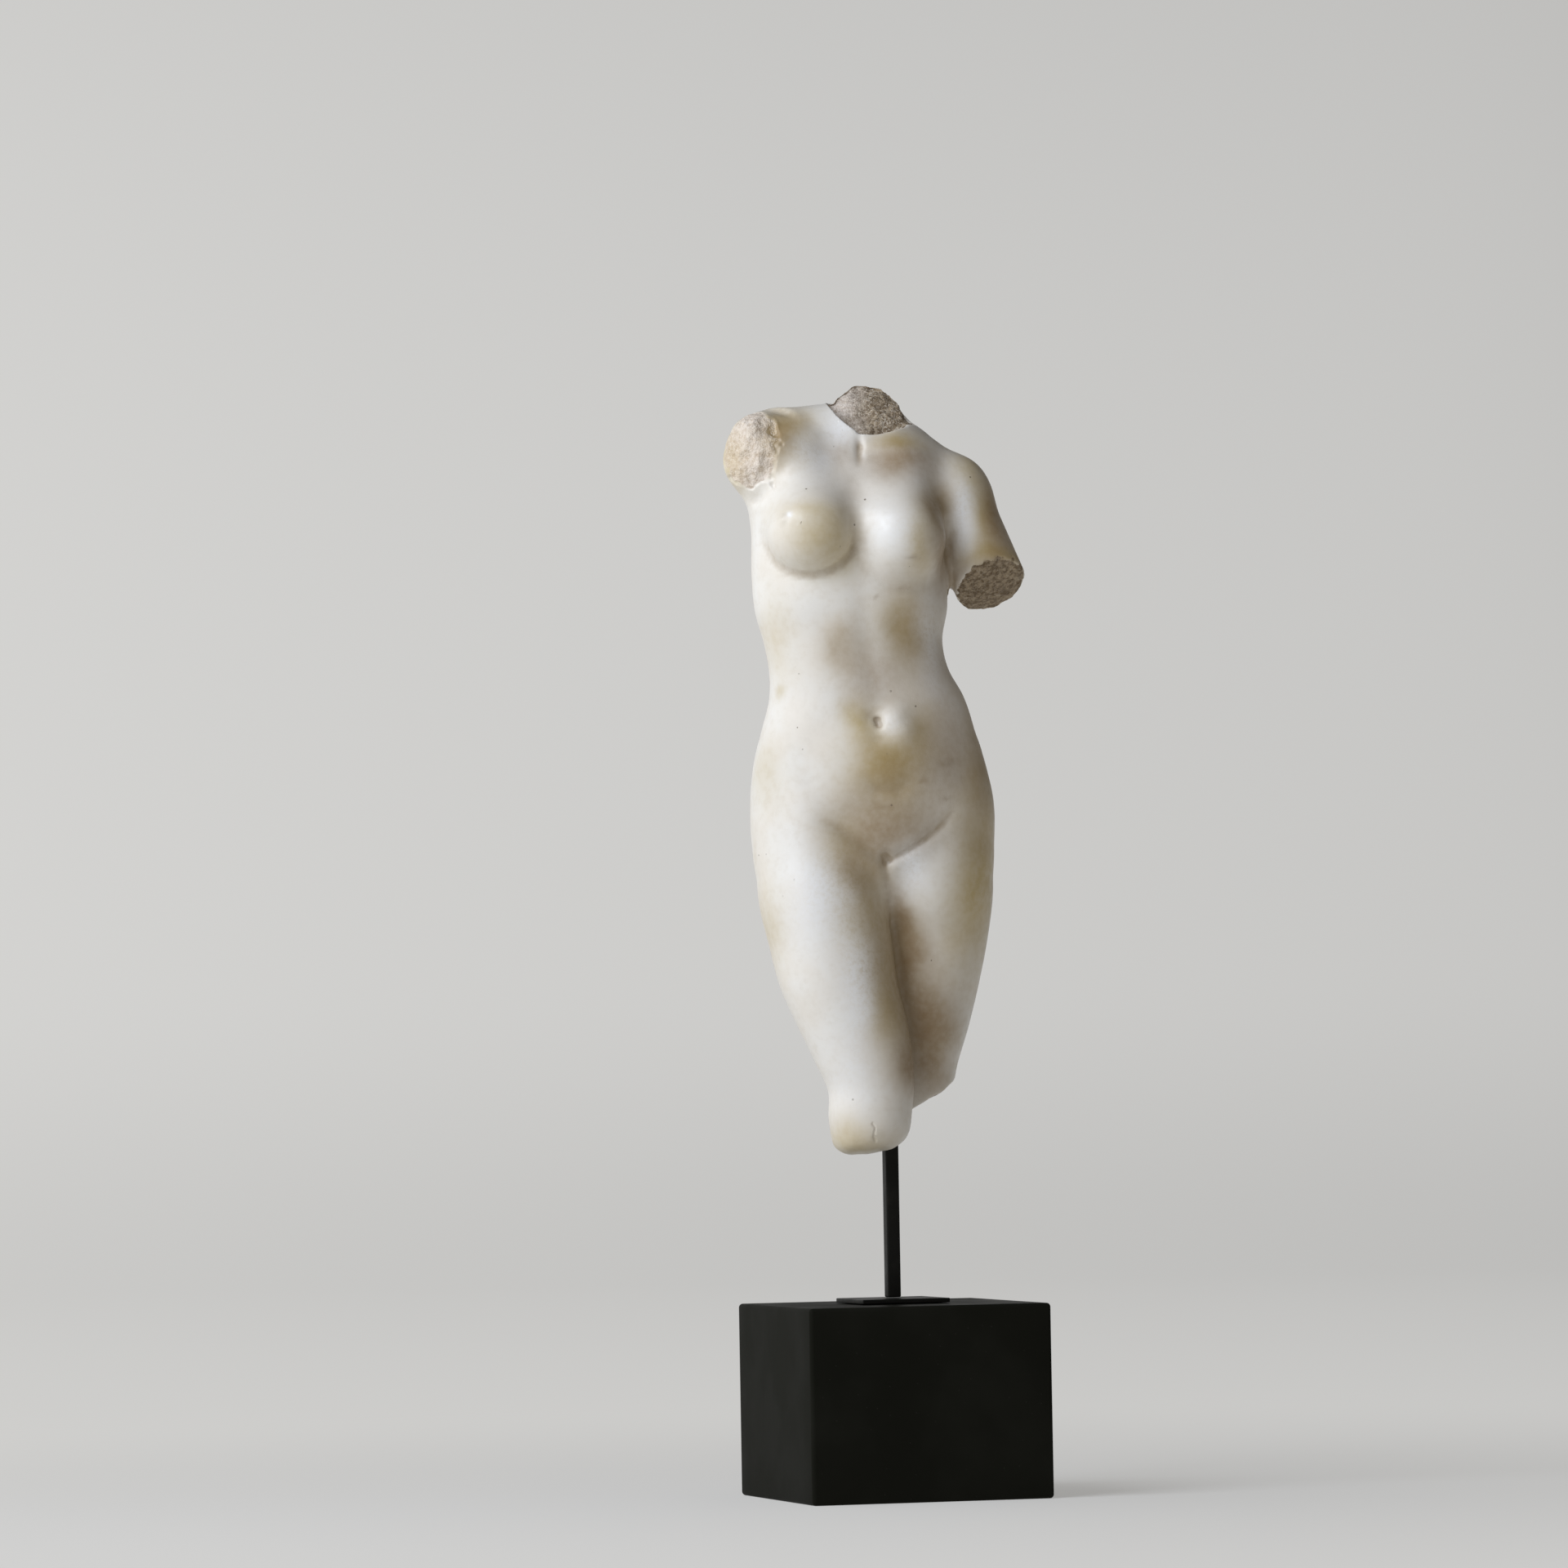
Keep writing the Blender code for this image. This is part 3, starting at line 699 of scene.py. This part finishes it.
def crumbled(points, normals):
    """Carves the fine relief: crumbling breaks, a crack in the stump and a worn surface."""
    depth = 0.04 + 0.10 * cloud(points, 17.0, 3) + 0.05 * cloud(points, 6.0, 4)
    depth += TOP_DEPTH * np.clip((points[:, 2] - TOP_START) / TOP_RISE, 0.0, 1.0)
    lost, nearest = breaks(points)
    for name, cut in BREAKS.items():
        on = (lost > 0.01) & (nearest == name)
        q = points[on]
        seed = cut["seed"]
        lumps = np.abs(cloud(q, 6.5, seed) - 0.5) * 2.0
        lumps += 0.6 * np.abs(cloud(q, 3.1, seed + 2) - 0.5)
        grains = crystals(q, 2.0, seed + 5) + 0.5 * crystals(q, 1.0, seed + 9)
        depth[on] += lost[on] * (cut["lumps"] * lumps + cut["grains"] * grains)
    height = points[:, 2]
    across = seen_across(points) - CRACK_ACROSS + CRACK_SWAY * (cloud(points, 1.9, 81) - 0.5)
    along = np.clip((height - CRACK_LOW) * (CRACK_HIGH - height) / CRACK_FADE, 0.0, 1.0)
    groove = np.exp(-((across / CRACK_WIDTH) ** 2))
    depth += CRACK_DEPTH * along * on_front(points, 0.0, 4.0) * groove
    return points - depth[:, None] * normals


def torso_mesh():
    """The torso's surface in parts, fine where the stone is broken."""
    values = sampled(torso_field, TORSO_LOW, TORSO_HIGH, GRID_STEP)
    fill_pinches(values)
    points, quads = surface_net(values, TORSO_LOW, GRID_STEP)
    points = settle(torso_field, points, 3)
    mesh = bpy.data.meshes.new("stone_torso")
    mesh.from_pydata(points.tolist(), [], quads.tolist())
    shape = bmesh.new()
    shape.from_mesh(mesh)
    for rings in FINER_RINGS:
        finer(shape, rings)
    shape.to_mesh(mesh)
    shape.free()
    points = np.zeros(len(mesh.vertices) * 3)
    mesh.vertices.foreach_get("co", points)
    points = settle(torso_field, points.reshape(-1, 3), 2)
    mesh.vertices.foreach_set("co", points.ravel())
    mesh.update()
    normals = np.zeros(points.size)
    mesh.vertex_normals.foreach_get("vector", normals)
    mesh.vertices.foreach_set("co", crumbled(points, normals.reshape(-1, 3)).ravel())
    return mesh


def add_object(name, mesh):
    thing = bpy.data.objects.new(name, mesh)
    bpy.context.scene.collection.objects.link(thing)
    return thing


def torso_placing():
    """From parts, in the torso's own frame, to metres in the object's frame."""
    return (
        Matrix.Translation((0, 0, STUMP_BOTTOM))
        @ Matrix.Rotation(TORSO_TURN, 4, "Z")
        @ Matrix.Scale(PART, 4)
    )


def socketed(torso):
    """Cuts the rod's square socket into the stump and keeps the result."""
    rod_low, rod_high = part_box("support_rod")
    low = Vector((rod_low.x - SEAT_GAP, rod_low.y - SEAT_GAP, STUMP_BOTTOM - SOCKET_DEPTH))
    high = Vector((rod_high.x + SEAT_GAP, rod_high.y + SEAT_GAP, STUMP_BOTTOM + SOCKET_DEPTH))
    shape = bmesh.new()
    bmesh.ops.create_cube(shape, size=1.0)
    bmesh.ops.scale(shape, verts=shape.verts, vec=high - low)
    bmesh.ops.translate(shape, verts=shape.verts, vec=(low + high) / 2)
    mesh = bpy.data.meshes.new("socket cutter")
    shape.to_mesh(mesh)
    shape.free()
    cutter = add_object("socket cutter", mesh)
    socket = torso.modifiers.new("rod socket", "BOOLEAN")
    socket.operation = "DIFFERENCE"
    socket.object = cutter
    graph = bpy.context.evaluated_depsgraph_get()
    torso.data = bpy.data.meshes.new_from_object(torso.evaluated_get(graph))
    torso.modifiers.clear()
    bpy.data.objects.remove(cutter)


def stains(p, patches):
    """How strongly each point is marked, from 0 to 1, by soft patches with ragged outlines: stains,
    and in some lists painted shade and painted highlights.
    """
    sway = cloud(p, 12.0, 61) - 0.5
    rise = cloud(p, 12.0, 62) - 0.5
    clear = np.ones(len(p))
    for x, z, half_width, half_height, strength in patches:
        ragged = min(6.0, 0.8 * half_width)
        across = (seen_across(p) + ragged * sway - x) / half_width
        height = (p[:, 2] + ragged * rise - z) / half_height
        clear *= 1.0 - strength * np.exp(-(across**2 + height**2) / 1.2)
    high = np.clip((p[:, 2] - PATCH_TOP) / PATCH_RISE, 0.0, 1.0)
    return (1.0 - clear) * on_front(p, PATCH_EDGE + PATCH_TOP_EDGE * high, PATCH_SOFTNESS)


def back_stains(p):
    """Faint broad stains on the side that the photograph doesn't show."""
    sway = 18.0
    contrast = 2.6
    strongest = 0.5
    bent = p + sway * np.stack([cloud(p, 15.0, seed) for seed in (72, 73, 74)], axis=1)
    patches = 0.6 * cloud(bent, 30.0, 71) + 0.4 * cloud(bent, 13.0, 75)
    faint = np.clip(contrast * patches - contrast / 2, 0.0, strongest)
    return (1.0 - on_front(p, PATCH_EDGE, PATCH_SOFTNESS)) * faint


def hollowness(p):
    """How far each point lies in a crease, from 0 to 1, from the field's curvature."""
    reach = 2.0
    sharpest = 0.30
    bend = -6.0 * torso_field(p)
    for axis in range(3):
        for way in (-reach, reach):
            q = p.copy()
            q[:, axis] += way
            bend += torso_field(q)
    return np.clip(-bend / reach**2 / sharpest, 0.0, 1.0)


def write_mask(mesh, name, values):
    mask = mesh.attributes.new(name, "FLOAT", "POINT")
    mask.data.foreach_set("value", values.astype(np.float32))


def paint_masks(mesh):
    """Writes, for its material, where the torso is stained, chalky, broken and dark, where shade and
    highlights are painted on it, and where its creases get painted shade.
    """
    points = np.zeros(len(mesh.vertices) * 3)
    mesh.vertices.foreach_get("co", points)
    points = points.reshape(-1, 3)
    lost, nearest = breaks(points)
    dark = np.array([BREAKS[name]["dark"] for name in nearest])
    to_right = np.clip((seen_across(points) - NECK_DARK_START) / NECK_DARK_WIDTH, 0.0, 1.0)
    dark += np.where(nearest == "neck", NECK_DARK_GAIN * to_right, 0.0)
    write_mask(mesh, "ochre_stain_and_shade", np.maximum(stains(points, OCHRE_STAINS_AND_SHADE), back_stains(points)))
    write_mask(mesh, "umber_stain_and_shade", stains(points, UMBER_STAINS_AND_SHADE))
    write_mask(mesh, "chalk_and_highlight", stains(points, CHALK_AND_HIGHLIGHTS))
    # Painted shade for the creases, from how sharply the surface bends
    creased = np.clip((away_from(points, SHOULDER_RIM) - CREASE_START) / CREASE_FADE, 0.0, 1.0)
    write_mask(mesh, "crease_shade", hollowness(points) * creased)
    write_mask(mesh, "rough", lost)
    write_mask(mesh, "dark", dark)


class Nodes:
    """A material's node tree, with short calls to add and join its nodes."""

    def __init__(self, name):
        self.material = bpy.data.materials.new(name)
        self.material.use_nodes = True
        self.tree = self.material.node_tree
        self.shader = self.tree.nodes["Principled BSDF"]

    def add(self, kind, settings=(), **inputs):
        node = self.tree.nodes.new(kind)
        for name, value in dict(settings).items():
            setattr(node, name, value)
        for name, value in inputs.items():
            self.put(node.inputs[name.replace("_", " ")], value)
        return node

    def put(self, socket, value):
        if isinstance(value, bpy.types.NodeSocket):
            self.tree.links.new(value, socket)
        else:
            socket.default_value = value

    def mask(self, name):
        return self.add("ShaderNodeAttribute", {"attribute_name": name}).outputs["Fac"]

    def place(self, per_metre):
        """The point on the piece, in the object's frame, in units of which a metre has so many."""
        where = self.add("ShaderNodeTexCoord").outputs["Object"]
        scaled = self.add("ShaderNodeVectorMath", {"operation": "SCALE"}, Vector=where)
        scaled.inputs["Scale"].default_value = per_metre
        return scaled.outputs["Vector"]

    def noise(self, where, scale, detail=3.0, roughness=0.55):
        return self.add(
            "ShaderNodeTexNoise", Vector=where, Scale=scale, Detail=detail, Roughness=roughness
        ).outputs["Fac"]

    def cells(self, where, scale, feature="F1"):
        return self.add(
            "ShaderNodeTexVoronoi", {"feature": feature}, Vector=where, Scale=scale
        ).outputs["Distance"]

    def spread(self, value, low, high, new_low=0.0, new_high=1.0):
        """Maps low..high smoothly to new_low..new_high."""
        node = self.add("ShaderNodeMapRange", {"interpolation_type": "SMOOTHSTEP"}, Value=value)
        for name, number in zip(("From Min", "From Max", "To Min", "To Max"),
                                (low, high, new_low, new_high)):
            node.inputs[name].default_value = number
        return node.outputs["Result"]

    def maths(self, operation, a, b=0.0, clamp=False):
        node = self.add("ShaderNodeMath", {"operation": operation, "use_clamp": clamp})
        self.put(node.inputs[0], a)
        self.put(node.inputs[1], b)
        return node.outputs["Value"]

    def mix(self, share, a, b):
        node = self.add("ShaderNodeMix", {"data_type": "RGBA"})
        self.put(node.inputs[0], share)
        for socket, colour in ((node.inputs[6], a), (node.inputs[7], b)):
            self.put(socket, (*colour, 1.0) if isinstance(colour, tuple) else colour)
        return node.outputs[2]

    def bump(self, height, strength, distance, below=None):
        node = self.add("ShaderNodeBump", Height=height, Strength=strength, Distance=distance)
        if below is not None:
            self.put(node.inputs["Normal"], below)
        return node.outputs["Normal"]


# Colours of the stone's skin
IVORY = (0.83, 0.812, 0.768)
BUFF = (0.80, 0.757, 0.685)
DULL_BUFF = (0.72, 0.68, 0.61)
# The ochre and umber colours are stains and also painted shade, and the crease colour is painted
# shade
OCHRE_STAIN_AND_SHADE = (0.50, 0.385, 0.165)
UMBER_STAIN_AND_SHADE = (0.28, 0.185, 0.09)
CREASE_SHADE = (0.31, 0.225, 0.125)
# Chalky scuffs and painted highlights
CHALK_AND_HIGHLIGHT_WHITE = (0.87, 0.875, 0.88)
SPECK = (0.16, 0.12, 0.08)
# Colours of its broken faces: two of a pale one, two of a dark one, one where the ochre stains and
# painted shade fall on the pale one, the veins
PALE_LOW = (0.58, 0.49, 0.41)
PALE_HIGH = (0.82, 0.745, 0.68)
DARK_LOW = (0.14, 0.095, 0.05)
DARK_HIGH = (0.34, 0.265, 0.175)
PALE_STAIN_AND_SHADE = (0.55, 0.43, 0.26)
VEIN = (0.80, 0.73, 0.62)


def stone():
    """Satin ivory stone: clouded, stained, with painted shade in its creases and among its stains,
    chalky with painted highlights, grainy where broken.
    """
    n = Nodes("stone with stains and painted shade")
    mm = n.place(1000.0)
    clouds = n.noise(mm, 0.035, 5.0)
    mottle = n.noise(mm, 0.28, 4.0)
    grain = n.noise(mm, 1.9, 3.0, 0.6)
    colour = n.mix(n.spread(clouds, 0.35, 0.65), IVORY, BUFF)
    colour = n.mix(n.spread(mottle, 0.45, 0.75, 0.0, 0.35), colour, DULL_BUFF)

    uneven = n.spread(mottle, 0.25, 0.7, 0.9, 1.05)
    # The ochre and umber marks are stains, and in places painted shade
    ochre_stain_and_shade = n.maths("MULTIPLY", n.mask("ochre_stain_and_shade"), uneven, clamp=True)
    colour = n.mix(ochre_stain_and_shade, colour, OCHRE_STAIN_AND_SHADE)
    umber_stain_and_shade = n.maths("MULTIPLY", n.mask("umber_stain_and_shade"), uneven, clamp=True)
    colour = n.mix(umber_stain_and_shade, colour, UMBER_STAIN_AND_SHADE)
    # Painted shade in the creases
    crease = n.maths("MULTIPLY", n.mask("crease_shade"), n.spread(mottle, 0.2, 0.6, 0.35, 0.6))
    colour = n.mix(crease, colour, CREASE_SHADE)
    streaks = n.spread(n.noise(mm, 0.5, 5.0, 0.7), 0.3, 0.6, 0.55, 1.0)
    # Chalky scuffs, and painted highlights on the lit bulges
    chalk_and_highlight = n.maths("MULTIPLY", n.mask("chalk_and_highlight"), streaks)
    colour = n.mix(chalk_and_highlight, colour, CHALK_AND_HIGHLIGHT_WHITE)

    speck = n.maths("LESS_THAN", n.cells(mm, 0.11), 0.055)
    speckled = n.maths("MULTIPLY", speck, n.spread(clouds, 0.48, 0.6, 0.0, 0.8))
    colour = n.mix(speckled, colour, SPECK)

    edge = n.maths("ADD", n.mask("rough"), n.spread(grain, 0.2, 0.8, -0.3, 0.3))
    rough = n.spread(edge, 0.35, 0.75)
    crumbs = n.noise(mm, 0.45, 6.0, 0.65)
    pale = n.mix(n.spread(crumbs, 0.36, 0.60), PALE_LOW, PALE_HIGH)
    brown = n.mix(n.spread(crumbs, 0.40, 0.62), DARK_LOW, DARK_HIGH)
    # Broken faces take the ochre stains and their painted shade too
    pale = n.mix(n.maths("MULTIPLY", ochre_stain_and_shade, 0.85), pale, PALE_STAIN_AND_SHADE)
    face = n.mix(n.mask("dark"), pale, brown)
    sway = n.add("ShaderNodeTexNoise", Vector=mm, Scale=0.45, Detail=3.0).outputs["Color"]
    bent = n.add("ShaderNodeVectorMath", {"operation": "MULTIPLY_ADD"})
    n.put(bent.inputs[0], sway)
    bent.inputs[1].default_value = (4.0, 4.0, 4.0)
    n.put(bent.inputs[2], mm)
    vein = n.cells(bent.outputs["Vector"], 0.42, "DISTANCE_TO_EDGE")
    vein = n.spread(vein, 0.0, 0.10, 0.6, 0.0)
    vein = n.maths("MULTIPLY", vein, n.spread(mottle, 0.35, 0.6, 0.3, 1.0))
    vein = n.maths("MULTIPLY", vein, n.spread(n.mask("dark"), 0.95, 1.25, 1.0, 0.3))
    face = n.mix(vein, face, VEIN)
    colour = n.mix(rough, colour, face)
    n.put(n.shader.inputs["Base Color"], colour)

    satin = n.spread(mottle, 0.3, 0.7, 0.36, 0.50)
    rougher = n.maths("MULTIPLY", rough, 0.4)
    n.put(n.shader.inputs["Roughness"], n.maths("ADD", satin, rougher, clamp=True))
    skin = n.bump(n.noise(mm, 0.6, 3.0), 0.10, 0.0006)
    pits = n.bump(n.cells(mm, 1.3), n.maths("ADD", 0.03, n.maths("MULTIPLY", rough, 0.5)),
                  0.0005, skin)
    n.put(n.shader.inputs["Normal"], pits)
    return n.material


def black_paint():
    """Satin black paint over steel: a fine orange-peel skin, rubbed a little in patches."""
    n = Nodes("satin black paint")
    mm = n.place(1000.0)
    rub = n.noise(mm, 0.12, 4.0)
    fresh = (0.010, 0.010, 0.0085)
    rubbed = (0.020, 0.019, 0.016)
    colour = n.mix(n.spread(rub, 0.45, 0.75, 0.0, 0.6), fresh, rubbed)
    n.put(n.shader.inputs["Base Color"], colour)
    n.put(n.shader.inputs["Roughness"], n.spread(rub, 0.3, 0.7, 0.36, 0.48))
    n.put(n.shader.inputs["IOR"], 1.25)
    n.put(n.shader.inputs["Specular IOR Level"], 0.25)
    n.put(n.shader.inputs["Normal"], n.bump(n.noise(mm, 1.6, 2.0), 0.12, 0.0003))
    return n.material


def black_lacquer():
    """Satin black lacquer on wood: faint upright grain under it and a thin film of dust."""
    n = Nodes("satin black lacquer")
    mm = n.place(1000.0)
    stretched = n.add("ShaderNodeMapping", Vector=mm)
    stretched.inputs["Scale"].default_value = (1.0, 1.0, 0.06)
    grain = n.noise(stretched.outputs["Vector"], 0.9, 4.0, 0.6)
    haze = n.noise(mm, 0.02, 3.0)
    clear = (0.0105, 0.0107, 0.0080)
    hazy = (0.0140, 0.0142, 0.0110)
    dusty = (0.25, 0.24, 0.22)
    colour = n.mix(n.spread(haze, 0.4, 0.7), clear, hazy)
    dust = n.maths("LESS_THAN", n.cells(mm, 0.30), 0.05)
    colour = n.mix(n.maths("MULTIPLY", dust, 0.12), colour, dusty)
    n.put(n.shader.inputs["Base Color"], colour)
    n.put(n.shader.inputs["Roughness"], n.spread(haze, 0.35, 0.65, 0.40, 0.52))
    n.put(n.shader.inputs["IOR"], 1.2)
    n.put(n.shader.inputs["Specular IOR Level"], 0.05)
    n.put(n.shader.inputs["Normal"], n.bump(grain, 0.05, 0.0004))
    return n.material


def rounded_block(name, low, high, radius, spacing):
    """A box with round edges and corners. Its faces are grids, so that they stay flat."""
    arc_points = 7
    steps = radius * (1.0 - np.cos(np.linspace(0.0, math.pi / 2, arc_points)))
    lines = []
    for a, b in zip(low, high):
        count = max(1, round((b - a - 2 * radius) / spacing))
        inner = np.linspace(a + radius, b - radius, count + 1)[1:-1]
        lines.append(np.concatenate([a + steps, inner, (b - steps)[::-1]]))
    shape = bmesh.new()
    low, high = np.array(low), np.array(high)
    for axis in range(3):
        u, v = [a for a in range(3) if a != axis]
        for level in (low[axis], high[axis]):
            grid = []
            for s in lines[u]:
                row = []
                for t in lines[v]:
                    point = np.zeros(3)
                    point[[axis, u, v]] = level, s, t
                    core = np.clip(point, low + radius, high - radius)
                    out = point - core
                    row.append(shape.verts.new(core + radius * out / np.linalg.norm(out)))
                grid.append(row)
            for r in range(len(grid) - 1):
                for c in range(len(grid[r]) - 1):
                    shape.faces.new((grid[r][c], grid[r + 1][c], grid[r + 1][c + 1], grid[r][c + 1]))
    bmesh.ops.remove_doubles(shape, verts=shape.verts, dist=1e-6)
    bmesh.ops.recalc_face_normals(shape, faces=shape.faces)
    mesh = bpy.data.meshes.new(name)
    shape.to_mesh(mesh)
    shape.free()
    mesh.shade_smooth()
    return add_object(name, mesh)


def dress(piece, node, material):
    """Gives a piece its material and lets it stand for its CAD node."""
    piece.data.materials.clear()
    piece.data.materials.append(material)
    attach(piece, "root")
    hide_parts(node)


def build_torso():
    mesh = torso_mesh()
    torso = add_object("stone_torso", mesh)
    mesh.transform(torso_placing())
    socketed(torso)
    torso.data.transform(torso_placing().inverted())
    paint_masks(torso.data)
    torso.data.transform(torso_placing())
    torso.data.shade_smooth()
    dress(torso, "torso", stone())


def build_stand():
    paint = black_paint()
    rod = rounded_block("square_rod", *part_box("support_rod"), radius=0.0008, spacing=0.012)
    dress(rod, "support_rod", paint)
    plate = rounded_block("foot_plate", *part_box("mounting_plate"), radius=0.0004, spacing=0.010)
    dress(plate, "mounting_plate", paint)
    block = rounded_block("lacquered_block", *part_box("base_block"), radius=0.0018, spacing=0.012)
    dress(block, "base_block", black_lacquer())


# The photograph's camera: its place round the object and the way it is turned
CAMERA_AZIMUTH = math.radians(-17.5)
CAMERA_DISTANCE = 3.5
CAMERA_HEIGHT = 0.180
CAMERA_PITCH = math.radians(2.2)
CAMERA_YAW = math.radians(0.720)
CAMERA_ROLL = math.radians(1.0)
LENS = 182.25
SENSOR = 36.0


def build_camera():
    toward = Vector((math.sin(CAMERA_AZIMUTH), -math.cos(CAMERA_AZIMUTH), 0))
    right = Vector((math.cos(CAMERA_AZIMUTH), math.sin(CAMERA_AZIMUTH), 0))
    forward = -toward * math.cos(CAMERA_YAW) - right * math.sin(CAMERA_YAW)
    right = forward.cross(Vector((0, 0, 1))).normalized()
    forward = forward * math.cos(CAMERA_PITCH) + Vector((0, 0, math.sin(CAMERA_PITCH)))
    up = right.cross(forward).normalized()
    across = right * math.cos(CAMERA_ROLL) - up * math.sin(CAMERA_ROLL)
    upward = up * math.cos(CAMERA_ROLL) + right * math.sin(CAMERA_ROLL)
    data = bpy.data.cameras.new("camera")
    data.lens = LENS
    data.sensor_width = SENSOR
    camera = bpy.data.objects.new("camera", data)
    placing = Matrix((across, upward, -forward)).transposed().to_4x4()
    placing.translation = toward * CAMERA_DISTANCE + Vector((0, 0, CAMERA_HEIGHT))
    camera.matrix_world = placing
    bpy.context.scene.collection.objects.link(camera)
    bpy.context.scene.camera = camera


def area_light(name, azimuth, elevation, distance, width, height, power, colour):
    """A soft box aimed at the torso. Azimuth 0 is the front, and 90 the viewer's right."""
    aim = Vector((0, 0, 0.3))
    data = bpy.data.lights.new(name, "AREA")
    data.shape = "RECTANGLE"
    data.size = width
    data.size_y = height
    data.energy = power
    data.color = colour
    light = bpy.data.objects.new(name, data)
    a, e = math.radians(azimuth), math.radians(elevation)
    way = Vector((math.sin(a) * math.cos(e), -math.cos(a) * math.cos(e), math.sin(e)))
    light.location = aim + way * distance
    light.rotation_euler = (-way).to_track_quat("-Z", "Y").to_euler()
    bpy.context.scene.collection.objects.link(light)


def studio_material():
    """Pale floor that takes soft shadows near the object and turns into a glowing wall. The
    wall is brightest behind and to the left of the object, and dim and brown to the front
    right, above the height of the floor's curve."""
    bright = (0.68, 0.675, 0.66)
    brown = (0.10, 0.068, 0.034)
    n = Nodes("pale studio")
    where = n.add("ShaderNodeTexCoord").outputs["Object"]
    split = n.add("ShaderNodeSeparateXYZ", Vector=where)
    x, y = split.outputs["X"], split.outputs["Y"]
    flat = n.add("ShaderNodeCombineXYZ", X=x, Y=y)
    radius = n.add("ShaderNodeVectorMath", {"operation": "LENGTH"}, Vector=flat.outputs["Vector"])
    radius = radius.outputs["Value"]
    # A unit vector towards the dim side, and how far each point of the wall lies that way
    dim_x, dim_y = 0.70, -0.71
    towards = n.maths("ADD", n.maths("MULTIPLY", x, dim_x), n.maths("MULTIPLY", y, dim_y))
    side = n.maths("DIVIDE", towards, n.maths("MAXIMUM", radius, 0.1))
    dim = n.maths("MULTIPLY", n.spread(side, -0.37, 0.15), n.spread(split.outputs["Z"], 0.1, 0.8))
    wall = n.mix(dim, bright, brown)
    above = n.maths("SUBTRACT", split.outputs["Z"], 0.5)
    dimming = n.maths("MULTIPLY", n.maths("POWER", above, 2.0), 0.09)
    dimming = n.maths("ADD", dimming, n.maths("MULTIPLY", x, 0.08))
    dimming = n.maths("ADD", dimming, n.spread(split.outputs["Z"], 0.0, 0.3, 0.08, 0.0))
    glow = n.add("ShaderNodeEmission", Color=wall, Strength=n.maths("SUBTRACT", 1.0, dimming))
    floor = n.add("ShaderNodeBsdfDiffuse", Color=(0.85, 0.84, 0.82, 1.0))
    # Half of the light at the middle of the floor is its own glow, and all of it further out
    glow_reach = 1.0
    blend = n.add("ShaderNodeMixShader", Fac=n.spread(radius, -glow_reach, glow_reach))
    n.put(blend.inputs[1], floor.outputs[0])
    n.put(blend.inputs[2], glow.outputs[0])
    n.put(n.tree.nodes["Material Output"].inputs["Surface"], blend.outputs[0])
    return n.material


def build_studio():
    """A round sweep: floor, curve and wall all round, wide enough for a camera on any side."""
    floor_radius = 3.9
    bend = 0.7
    wall_top = 4.5
    profile = [(0.02, 0.0), (0.4, 0.0), (1.2, 0.0), (2.4, 0.0)]
    bend_steps = 12
    for i in range(bend_steps + 1):
        a = math.pi / 2 * i / bend_steps
        profile.append((floor_radius + bend * math.sin(a), bend * (1 - math.cos(a))))
    profile.append((floor_radius + bend, wall_top))
    sides = 96
    turn = np.arange(sides) * (2 * math.pi / sides)
    points = [(r * math.cos(a), r * math.sin(a), z) for r, z in profile for a in turn]
    faces = [tuple(range(sides))]
    for ring in range(len(profile) - 1):
        for i in range(sides):
            j = (i + 1) % sides
            low, high = ring * sides, (ring + 1) * sides
            faces.append((low + i, high + i, high + j, low + j))
    mesh = bpy.data.meshes.new("studio")
    mesh.from_pydata(points, [], faces)
    mesh.shade_smooth()
    mesh.materials.append(studio_material())
    add_object("studio", mesh)

    area_light("window", azimuth=-66, elevation=38, distance=1.6, width=1.1, height=1.1,
               power=21.4, colour=(0.91, 0.962, 1.06))
    world = bpy.data.worlds.new("dim room")
    world.use_nodes = True
    background = world.node_tree.nodes["Background"]
    background.inputs["Color"].default_value = (0.28, 0.235, 0.17, 1.0)
    background.inputs["Strength"].default_value = 0.2
    bpy.context.scene.world = world
    bpy.context.scene.view_settings.view_transform = "Standard"


build_camera()
build_stand()
build_torso()
build_studio()
